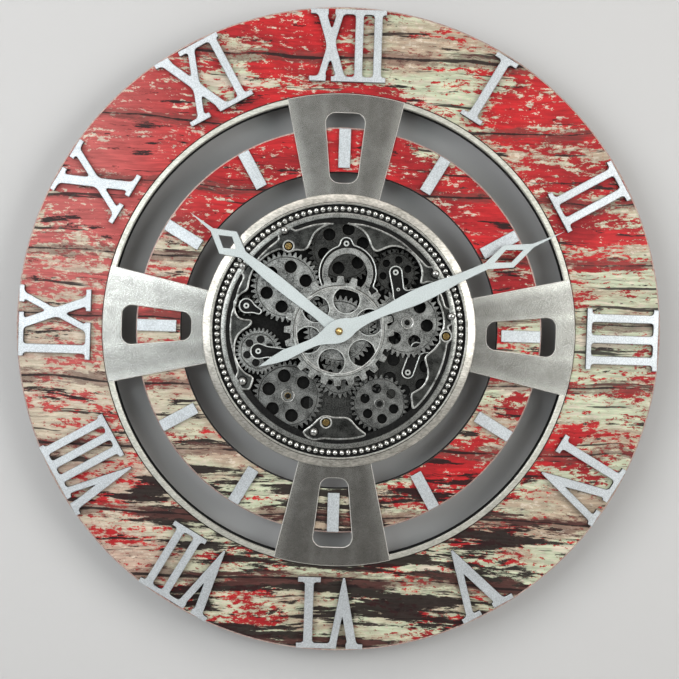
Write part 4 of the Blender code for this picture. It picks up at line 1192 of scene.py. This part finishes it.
def hole_ring(count, radius, at_radius, first):
    """Round holes on a circle, the first of them in a direction in degrees."""
    return [hole(circle(radius, 40, place)) for place in circle(at_radius, count, phase=radians(first))]


def add_wheel(piece, at, outline, disc, holes, bore, back, front, face="pewter", line="pewter_highlight_line"):
    """A wheel whose toothed rim is a little lower than its disc, with a fine gap between, painted black as shade.
    """
    step, gap = 0.4, 0.4
    rim = [moved(outline, at), hole(circle(disc + gap, 96, at))]
    low = front - step
    steps = [
        (0.3, back, "pewter_side_shade"), (0.0, back + 0.3, "pewter_side_shade"), (0.0, low - 0.3, "pewter_side_shade"),
        (0.3, low, line),
    ]  # fmt: skip
    piece.relief(rim, steps, face)
    outlines = [circle(disc, 96, at)] + [moved(points, at) for points in holes]
    outlines.append(hole(circle(bore, 32, at)))
    piece.relief(outlines, plate(back, front, "pewter_side_shade", line, 0.4), face)
    # painted shade: a black ring behind the gap
    piece.sleeve(disc - 0.8, disc + 1.4, back + 0.1, low - 0.8, 96, "recess_shade", at)


# Each train wheel as (teeth, radius of its raised disc, its holes as in hole_ring, hub radius, faces).
TRAIN = {
    "upper_left_wheel": (38, 27.3, (6, 5.8, 19.0, 19), 5.4, ("pewter", "pewter_highlight_line")),
    "top_wheel": (38, 27.3, (6, 5.8, 18.6, 17), 0, ("deep_pewter_shade", "deep_line_shade_and_highlight")),
    "upper_right_wheel": (25, 17.3, (6, 3.5, 12.0, 17), 0, ("deep_pewter_shade", "deep_line_shade_and_highlight")),
    "right_wheel": (38, 27.3, (6, 5.8, 18.6, 53), 6.3, ("pewter", "pewter_highlight_line")),
    "rear_wheel": (38, 27.3, (6, 6.0, 18.0, 20), 0, ("deep_pewter_shade", "deep_line_shade_and_highlight")),
    "idler_wheel": (22, 14.6, (6, 2.3, 9.6, 30), 4.2, ("pewter", "pewter_highlight_line")),
    "lower_left_wheel": (38, 27.3, (6, 6.0, 18.9, 42), 6.5, ("pewter", "pewter_highlight_line")),
    "lower_right_wheel": (31, 22.9, (6, 4.5, 14.3, 42), 5.2, ("pewter", "pewter_highlight_line")),
    "far_left_pinion": (10, 4.9, (0, 0, 0, 0), 0, ("deep_pewter_shade", "deep_line_shade_and_highlight")),
    "motor_pinion": (10, 4.4, (0, 0, 0, 0), 0, ("pewter", "pewter_highlight_line")),
    "under_wheel": (38, 27.3, (6, 4.6, 20.5, 48), 0, ("pewter", "pewter_highlight_line")),
}
PINIONS = {"right_wheel": 17, "under_wheel": 29, "left_wheel": 21}
WHEEL_THICK = 2.0


def add_pinion(piece, node, at, bore):
    """The pinion behind a wheel."""
    back, front = layer(node)
    teeth = PINIONS[node]
    edge = back + 0.6
    outline = toothed(teeth, reach(node, front=edge), tooth_phase(node, teeth, front=edge))
    steps = [
        (0.25, back, "pewter_side_shade"), (0.0, back + 0.25, "pewter_highlight_line"),
        (0.0, front - 1.0, "pewter_side_shade"),
    ]  # fmt: skip
    # the pinion's face, behind its wheel, is painted black as shade
    piece.relief([moved(outline, at), hole(circle(bore, 32, at))], steps, "recess_shade")


def make_train():
    """Every wheel of the train but the centre wheel and the left one."""
    for node, (teeth, disc, holes, hub, (face, line)) in TRAIN.items():
        back, front = layer(node)
        centre = axis(node)
        bore = BUSH_BORE if node == "under_wheel" else BORE_RADIUS
        outline = toothed(teeth, reach(node, back=front - 0.3), tooth_phase(node, teeth, back=front - 0.3))
        piece = Piece(f"{node}_metal")
        wheel_back = front - WHEEL_THICK if node in PINIONS else back
        add_wheel(piece, centre, outline, disc, hole_ring(*holes), bore, wheel_back, front, face, line)
        if node in PINIONS:
            add_pinion(piece, node, centre, bore)
        if hub:
            profile = [
                (bore, front - 0.5), (bore, front + 0.1), (hub - 1.5, front + 0.1),
                (hub - 1.1, front + 0.45, line), (hub - 0.7, front + 0.6), (hub - 0.3, front + 0.45),
                (hub, front - 0.2, "recess_shade"), (hub + 0.2, front - 0.5),
            ]  # fmt: skip
            piece.turned(profile, 48, face, centre)
        piece.finish(node)


def make_left_wheel():
    """The small fine-toothed wheel behind the left cock."""
    front = layer("left_wheel")[1]
    centre = axis("left_wheel")
    teeth, disc = 32, 15.9
    tip = reach("left_wheel", back=front - 0.3)
    phase = tooth_phase("left_wheel", teeth, back=front - 0.3)
    outline = broad_toothed(teeth, tip, tip - 2.8, 0.34, 0.62, phase)
    piece = Piece("left_wheel_metal")
    holes = hole_ring(6, 3.6, 11.0, 20)
    add_wheel(piece, centre, outline, disc, holes, BORE_RADIUS, front - WHEEL_THICK, front)
    add_pinion(piece, "left_wheel", centre, BORE_RADIUS)
    piece.finish("left_wheel")


CENTRE_DISC = 42.0
CENTRE_OPENINGS = (6, 12.0, 29.5, 18)  # as in hole_ring


def make_centre_wheel():
    """The broad front wheel. A raised line runs round its disc and each of its six openings."""
    back, front = layer("centre_wheel")
    outline = broad_toothed(24, 51.0, 45.2, 0.40, 0.60, tooth_phase("centre_wheel", 24, back=front - 0.3))
    piece = Piece("centre_wheel_metal")
    holes = hole_ring(*CENTRE_OPENINGS)
    add_wheel(piece, (0.0, 0.0), outline, CENTRE_DISC, holes, BUSH_BORE, front - 2.2, front)
    count, radius, at_radius, first = CENTRE_OPENINGS
    lip = [
        (radius + 0.1, front - 0.5), (radius + 0.3, front + 0.25), (radius + 1.0, front + 0.25),
        (radius + 1.4, front - 0.5),
    ]  # fmt: skip
    for place in circle(at_radius, count, phase=radians(first)):
        piece.turned(lip, 48, "pewter_highlight_line", place)
    profile = [
        (38.6, front - 0.3, "recess_shade"), (39.0, front + 0.1, "wire_highlight"), (39.6, front + 0.5),
        (41.0, front + 0.5, "wire_highlight"), (41.7, front), (CENTRE_DISC, front - 0.5),
    ]  # fmt: skip
    piece.turned(profile, 96, "pewter")
    piece.sleeve(BUSH_BORE, 11.0, back, front - 0.5, 48, "pewter_side_shade")
    piece.finish("centre_wheel")


# --------------------------------------------------------------------------------------------- hands


def mirrored(side):
    """A closed outline from the points of its right side, tip first, turned so its solid is on its left."""
    left = [(-x, z) for x, z in reversed(side) if x > 0]
    return list(reversed(side + left))


def make_hands():
    """Spade hands with an open diamond, and the brass dome that holds them."""
    back, front = layer("hour_hand")
    blade = smooth([(3.7, 113), (4.6, 98), (5.6, 80), (5.7, 60), (5.1, 42), (4.6, 27), (5.4, 14)], 6)
    hub = arc(9.5, radians(48), radians(-90), 16)
    side = [(0, 176), (1.9, 150), (13.0, 131)] + blade[:-1] + hub
    diamond = [(0, 142), (-6.6, 131.5), (0, 122), (6.6, 131.5)]
    turn = far_direction("hour_hand") - pi / 2
    piece = Piece("hour_hand_blade")
    outlines = [rotated(mirrored(side), turn), hole(rotated(diamond, turn)), hole(circle(2.8, 24))]
    piece.relief(outlines, plate(back, front, "hand_side_shade", "hand_paint", 0.3), "hand_paint")
    piece.finish("hour_hand")

    back, front = layer("minute_hand")
    blade = [
        (3.3, 149), (3.6, 135), (4.4, 118), (6.2, 100), (7.1, 80), (6.0, 62), (4.4, 46), (4.4, 30),
        (6.2, 17), (9.2, 9), (10.6, 3), (10.7, -2), (9.4, -8), (6.6, -15), (4.2, -24), (4.1, -36),
        (5.3, -54),
    ]  # fmt: skip
    side = [(0, 228), (1.8, 196), (11.3, 171)] + smooth(blade, 6) + [(3.6, -66), (0, -81.5)]
    diamond = [(0, 186), (-6.2, 171), (0, 157), (6.2, 171)]
    turn = far_direction("minute_hand") - pi / 2
    piece = Piece("minute_hand_blade")
    outlines = [rotated(mirrored(side), turn), hole(rotated(diamond, turn))]
    piece.relief(outlines, plate(front - 1.6, front, "hand_side_shade", "hand_paint", 0.3), "hand_paint")
    piece.sleeve(0, 2.3, back, front - 1.0, 24, "steel")
    piece.finish("minute_hand")

    base, top = layer("hand_nut")
    nut = Piece("hand_nut_dome")
    nut.turned([(0, base), (3.5, base), (3.5, base + 0.7), (3.1, base + 1.0), (0, base + 1.0)], 40, "brass")
    nut.dome((0.0, 0.0), 2.7, base + 1.0, top - base - 1.0, "brass", 40, 8)
    nut.finish("hand_nut")


# ------------------------------------------------------------------------------------------ the back

KEYHOLE_TOP = frame["record"]["mounts"][1]["pos_m"][2] / MM
KEYHOLE_DROP = KEYHOLE_TOP - 9.0
COVER_FACE = 0.6  # the cover's face lies this far off the wall, and its raised ribs touch the wall
COVER_RINGS = ((112.5, 110.5, 128), (46.0, 44.8, 96))  # round ribs, as (outer, inner, sides)
COVER_SCREW_CIRCLE = 104.5
KNOB_OPENING = 8.6


def keyhole(grown=0.0):
    """A round entry with a narrow slot above it."""
    entry, neck = 5.2 + grown, 2.6 + grown
    half = asin(neck / entry)
    top = arc(neck, 0, pi, 10, (0, KEYHOLE_TOP))
    return top + arc(entry, pi / 2 + half, 2 * pi + pi / 2 - half, 24, (0, KEYHOLE_DROP))


def node_rectangle(node, margin):
    """A node's outline as a rectangle with a margin, as x0, z0, x1, z1."""
    low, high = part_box(node)
    return low.x / MM - margin, low.z / MM - margin, high.x / MM + margin, high.z / MM + margin


# The cover's straight ribs, as (direction in degrees, where they end). They leave the cells' openings free.
COVER_SPOKES = [(turn, 108.0) for turn in (15, 45, 75, 105, 135, 165, 315, 345)]
COVER_SPOKES += [(turn, 62.0) for turn in (255, 285)]


def add_rib(piece, outer, inner):
    """A raised frame on the cover, between two outlines."""
    piece.block([outer, hole(inner)], "black_plastic", (0.3, 0.0), (0.0, 0.3), (0.0, 1.2))


def grown_box(box, amount, corner):
    """A rectangle with round corners, larger than x0, z0, x1, z1 by an amount on every side."""
    x0, z0, x1, z1 = box
    return rounded_box(x0 - amount, z0 - amount, x1 + amount, z1 + amount, corner)


def make_rear_cover():
    """The cover at the wall, with ribs, screws, the keyhole and openings for the knob and the two cells."""
    _, front = layer("rear_cover")
    radius = reach("rear_cover")
    knob = axis("setting_knob")
    window = node_rectangle("clock_battery", 1.5)
    door = node_rectangle("gear_battery_door", 0.3)
    outlines = [
        circle(radius, 128), hole(circle(KNOB_OPENING, 48, knob)), hole(rounded_box(*window, 1.5)),
        hole(rounded_box(*door, 0.8)), hole(keyhole()),
    ]  # fmt: skip
    piece = Piece("rear_cover_plastic")
    steps = ((0.8, COVER_FACE), (0.0, 1.3), (0.0, front))
    piece.block(outlines, "black_plastic", *steps, face="inner_plastic")
    for outer, inner, sides in COVER_RINGS:
        add_rib(piece, circle(outer, sides), circle(inner, sides))
    add_rib(piece, circle(KNOB_OPENING + 2.0, 48, knob), circle(KNOB_OPENING + 0.1, 48, knob))
    add_rib(piece, keyhole(1.9), keyhole(0.1))
    add_rib(piece, grown_box(window, 2.0, 3.0), grown_box(window, 0.1, 1.5))
    add_rib(piece, grown_box(door, 2.0, 2.6), grown_box(door, 0.1, 0.8))
    for turn, end in COVER_SPOKES:
        spoke = rotated(rounded_box(48.0, -0.6, end, 0.6, 0.5, 2), radians(turn))
        piece.block([spoke], "black_plastic", (0.25, 0.1), (0.0, 0.35), (0.0, 1.2))
    cup = [(5.0, 1.2), (5.0, 0.15), (3.9, 0.0), (3.6, 0.3), (3.6, 1.2)]
    for place in circle(COVER_SCREW_CIRCLE, 6):
        piece.turned(cup, 32, "black_plastic", place)
        piece.dome(place, 3.3, 1.0, -0.7, "steel", 24, 4)
    piece.finish("rear_cover")


def make_case():
    """The round wall, with a ledge that the back plate rests on and a shallow band round its outside."""
    back, front = layer("gear_case")
    radius = reach("gear_case")
    inner = radius - 3.0
    ledge = layer("back_plate")[0] - 0.3
    piece = Piece("gear_case_plastic")
    profile = [
        (radius - 0.5, back), (radius, back + 0.5), (radius, back + 5.0), (radius - 0.6, back + 5.4),
        (radius - 0.6, back + 8.0), (radius, back + 8.4), (radius, front - 0.5), (radius - 0.5, front),
        (inner, front), (inner, ledge), (inner - 4, ledge), (inner - 4, ledge - 2), (inner, ledge - 2),
        (inner, back),
    ]  # fmt: skip
    piece.turned(profile, 160, "black_plastic")
    piece.finish("gear_case")


def make_knob():
    """The setting knob, with a knurled edge and a sunk face."""
    back, front = layer("setting_knob")
    centre = axis("setting_knob")
    radius = reach("setting_knob")
    outline = moved(broad_toothed(30, radius, radius - 0.6, 0.36, 0.6, 0.0), centre)
    piece = Piece("setting_knob_plastic")
    outlines = [outline, hole(circle(5.4, 40, centre))]
    piece.block(outlines, "inner_plastic", (0.5, back), (0.0, back + 0.6), (0.0, front))
    piece.sleeve(0, 5.6, back + 0.8, front, 40, "inner_plastic", centre)
    grip = moved(rounded_box(-0.8, -5.2, 0.8, 5.2, 0.6, 3), centre)
    piece.block([grip], "inner_plastic", (0.2, back + 0.1), (0.0, back + 0.3), (0.0, back + 1.0))
    piece.finish("setting_knob")


def make_door():
    """The door of the train's cell, with grip ribs and a thumb notch."""
    back, front = layer("gear_battery_door")
    x0, z0, x1, z1 = node_rectangle("gear_battery_door", 0.0)
    piece = Piece("gear_battery_door_plastic")
    middle = (z0 + z1) / 2
    notch = hole(rounded_box(x0 + 2.5, middle - 4, x0 + 6.5, middle + 4, 1.8))
    outlines = [rounded_box(x0, z0, x1, z1, 0.8), notch]
    steps = ((0.4, back + 0.2), (0.0, back + 0.6), (0.0, front))
    piece.block(outlines, "black_plastic", *steps, face="inner_plastic")
    floor = rounded_box(x0 + 2, middle - 5, x0 + 7, middle + 5, 1.8)
    piece.block([floor], "inner_plastic", (0.0, front - 0.9), (0.0, front - 0.1))
    for k in range(5):
        x = x1 - 4 - 2.4 * k
        rib = rounded_box(x - 0.6, middle - 6, x + 0.6, middle + 6, 0.5, 2)
        piece.block([rib], "black_plastic", (0.2, back), (0.0, back + 0.2), (0.0, back + 1.0))
    piece.finish("gear_battery_door")


def make_cells():
    """Dry cells lying along X: a printed sleeve with a band, a rolled rim and a positive nub."""
    for node in ("clock_battery", "gear_battery"):
        low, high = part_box(node)
        half, radius = (high.x - low.x) / 2 / MM, (high.z - low.z) / 2 / MM
        middle = (low + high) / 2
        piece = Piece(f"{node}_cell")
        profile = [
            (0, -half), (radius - 1.4, -half), (radius - 1.0, -half + 0.5, "cell_sleeve"),
            (radius - 0.3, -half + 0.1, "cell_sleeve"), (radius, -half + 0.5, "cell_sleeve"),
            (radius, half - 15, "cell_band"), (radius, half - 2.0, "cell_sleeve"),
            (radius - 0.4, half - 1.4, "cell_sleeve"), (radius - 1.0, half - 1.4),
            (radius - 1.6, half - 1.8), (2.7, half - 1.5), (2.5, half - 0.3), (2.1, half), (0, half),
        ]  # fmt: skip
        piece.turned(profile, 40, "steel")
        piece.mesh.transform(Matrix.Translation(middle) @ Matrix.Rotation(pi / 2, 4, "Z"))
        piece.finish(node)


def dress_hidden_nodes():
    """Finishes for the CAD nodes whose own shape is right."""
    for node, look in (
        ("back_plate", "black_plate"),
        ("movement_case", "inner_plastic"),
        ("battery_tray", "inner_plastic"),
        ("gear_motor", "steel"),
        ("centre_bush", "brass"),
    ):
        data = frame["nodes"][node].data
        data.materials.clear()
        data.materials.append(LOOKS[look])


# --------------------------------------------------------------------------- stage, light and camera

VIEW_DISTANCE = 1.30  # metres from the dial to the camera
VIEW_FROM = (-0.010, 0.030)  # where the camera is, in metres from the hands' axis
VIEW_AIM = (0.0008, -0.0080)  # the point of the dial that the camera looks at
VIEW_WIDTH = 0.6330  # metres of the dial's plane that fill the picture
HANG_TILT = radians(1.8)  # the clock hangs this far off plumb, clockwise, in the picture
SENSOR = 36.0


def stage_look(name, colour, one_sided):
    """A matt wall or floor. A one-sided one is clear to what looks through it from its back."""
    look = Look(name, 0.85, 0.0)
    cloud = look.noise(3.0, detail=2.0)
    look.colour(look.mix(cloud, colour, tuple(0.96 * c for c in colour)))
    if not one_sided:
        return look.material
    nodes = look.nodes
    links = look.material.node_tree.links
    clear = nodes.new("ShaderNodeBsdfTransparent")
    mixed = nodes.new("ShaderNodeMixShader")
    behind = look.math(
        "MAXIMUM", nodes.new("ShaderNodeNewGeometry").outputs["Backfacing"],
        look.math("GREATER_THAN", nodes.new("ShaderNodeLightPath").outputs["Transparent Depth"], 0.5),
    )  # fmt: skip
    links.new(behind, mixed.inputs[0])
    links.new(look.shader.outputs[0], mixed.inputs[1])
    links.new(clear.outputs[0], mixed.inputs[2])
    links.new(mixed.outputs[0], nodes["Material Output"].inputs["Surface"])
    return look.material


def stage_plane(name, points, material):
    data = bpy.data.meshes.new(name)
    data.from_pydata(points, [], [tuple(range(len(points)))])
    data.materials.append(material)
    plane = bpy.data.objects.new(name, data)
    bpy.context.collection.objects.link(plane)


def make_stage():
    """A pale wall just behind the clock and a pale floor below it."""
    wall, floor, half, apron = 0.0015, -0.62, 3.0, -1.2
    pale = (0.53, 0.525, 0.52)
    stage_plane(
        "wall", [(-half, wall, floor), (half, wall, floor), (half, wall, half), (-half, wall, half)],
        stage_look("wall_paint", pale, True),
    )  # fmt: skip
    stage_plane(
        "floor", [(-half, apron, floor), (half, apron, floor), (half, half, floor), (-half, half, floor)],
        stage_look("floor_paint", pale, False),
    )  # fmt: skip


def area_light(name, place, target, width, height, power, colour):
    data = bpy.data.lights.new(name, "AREA")
    data.shape = "RECTANGLE"
    data.size, data.size_y = width, height
    data.energy = power
    data.color = colour
    light = bpy.data.objects.new(name, data)
    light.location = place
    light.rotation_euler = (Vector(target) - Vector(place)).to_track_quat("-Z", "Y").to_euler()
    bpy.context.collection.objects.link(light)


def make_lights():
    """A soft box on either side of the camera, broad ones far out and above, and weak ones for the back."""
    area_light("left_box", (-0.48, -1.30, 0.16), (0, 0, 0), 0.38, 0.42, 3.2, (0.88, 0.97, 1.0))
    area_light("right_box", (0.62, -1.25, 0.12), (0, 0, 0), 0.34, 0.42, 2.9, (0.94, 1.0, 0.98))
    area_light("far_left_box", (-1.25, -1.35, 0.40), (0, 0, 0), 0.8, 1.2, 17.0, (0.97, 0.98, 1.0))
    area_light("far_right_box", (1.3, -1.35, 0.30), (0, 0, 0), 0.8, 1.2, 15.0, (1.0, 0.98, 0.97))
    area_light("top_box", (-0.2, -1.2, 1.3), (0, 0, 0.05), 1.8, 0.7, 9.5, (1.0, 0.97, 0.95))
    area_light("back_left_box", (-1.1, 1.3, 0.8), (0, 0, 0), 0.8, 0.8, 30.0, (1.0, 1.0, 1.0))
    area_light("back_right_box", (1.2, 1.2, 0.5), (0, 0, 0), 0.8, 0.8, 20.0, (1.0, 1.0, 1.0))
    make_room()


def make_room():
    """The light of the room: dim below, brighter above."""
    world = bpy.data.worlds.new("studio")
    world.use_nodes = True
    nodes, links = world.node_tree.nodes, world.node_tree.links
    background = nodes["Background"]
    background.inputs["Color"].default_value = (1.0, 0.95, 0.88, 1.0)
    direction = nodes.new("ShaderNodeSeparateXYZ")
    rise = nodes.new("ShaderNodeMapRange")
    rise.interpolation_type = "SMOOTHSTEP"
    for name, number in (("From Min", -0.15), ("From Max", 0.6), ("To Min", 0.065), ("To Max", 0.29)):
        rise.inputs[name].default_value = number
    links.new(nodes.new("ShaderNodeTexCoord").outputs["Generated"], direction.inputs[0])
    links.new(direction.outputs["Z"], rise.inputs["Value"])
    links.new(rise.outputs["Result"], background.inputs["Strength"])
    bpy.context.scene.world = world


def make_camera():
    data = bpy.data.cameras.new("camera")
    camera = bpy.data.objects.new("camera", data)
    dial = -layer("outer_panel")[1] * MM
    place = Vector((VIEW_FROM[0], dial - VIEW_DISTANCE, VIEW_FROM[1]))
    aim = Vector((VIEW_AIM[0], dial, VIEW_AIM[1]))
    data.sensor_width = SENSOR
    data.lens = SENSOR * (aim - place).length / VIEW_WIDTH
    look_at = (aim - place).to_track_quat("-Z", "Y").to_matrix() @ Matrix.Rotation(HANG_TILT, 3, "Z")
    camera.matrix_world = Matrix.Translation(place) @ look_at.to_4x4()
    bpy.context.collection.objects.link(camera)
    bpy.context.scene.camera = camera


def main():
    make_looks()
    make_camera()
    make_panels()
    make_numerals()
    make_markers()
    make_spoke_frame()
    make_bezel()
    make_border()
    make_rivets_and_screws()
    make_floor_plate()
    make_bridges()
    make_pins()
    make_train()
    make_left_wheel()
    make_centre_wheel()
    make_hands()
    make_rear_cover()
    make_case()
    make_knob()
    make_door()
    make_cells()
    dress_hidden_nodes()
    make_stage()
    make_lights()
    bpy.context.scene.view_settings.view_transform = "Standard"


main()
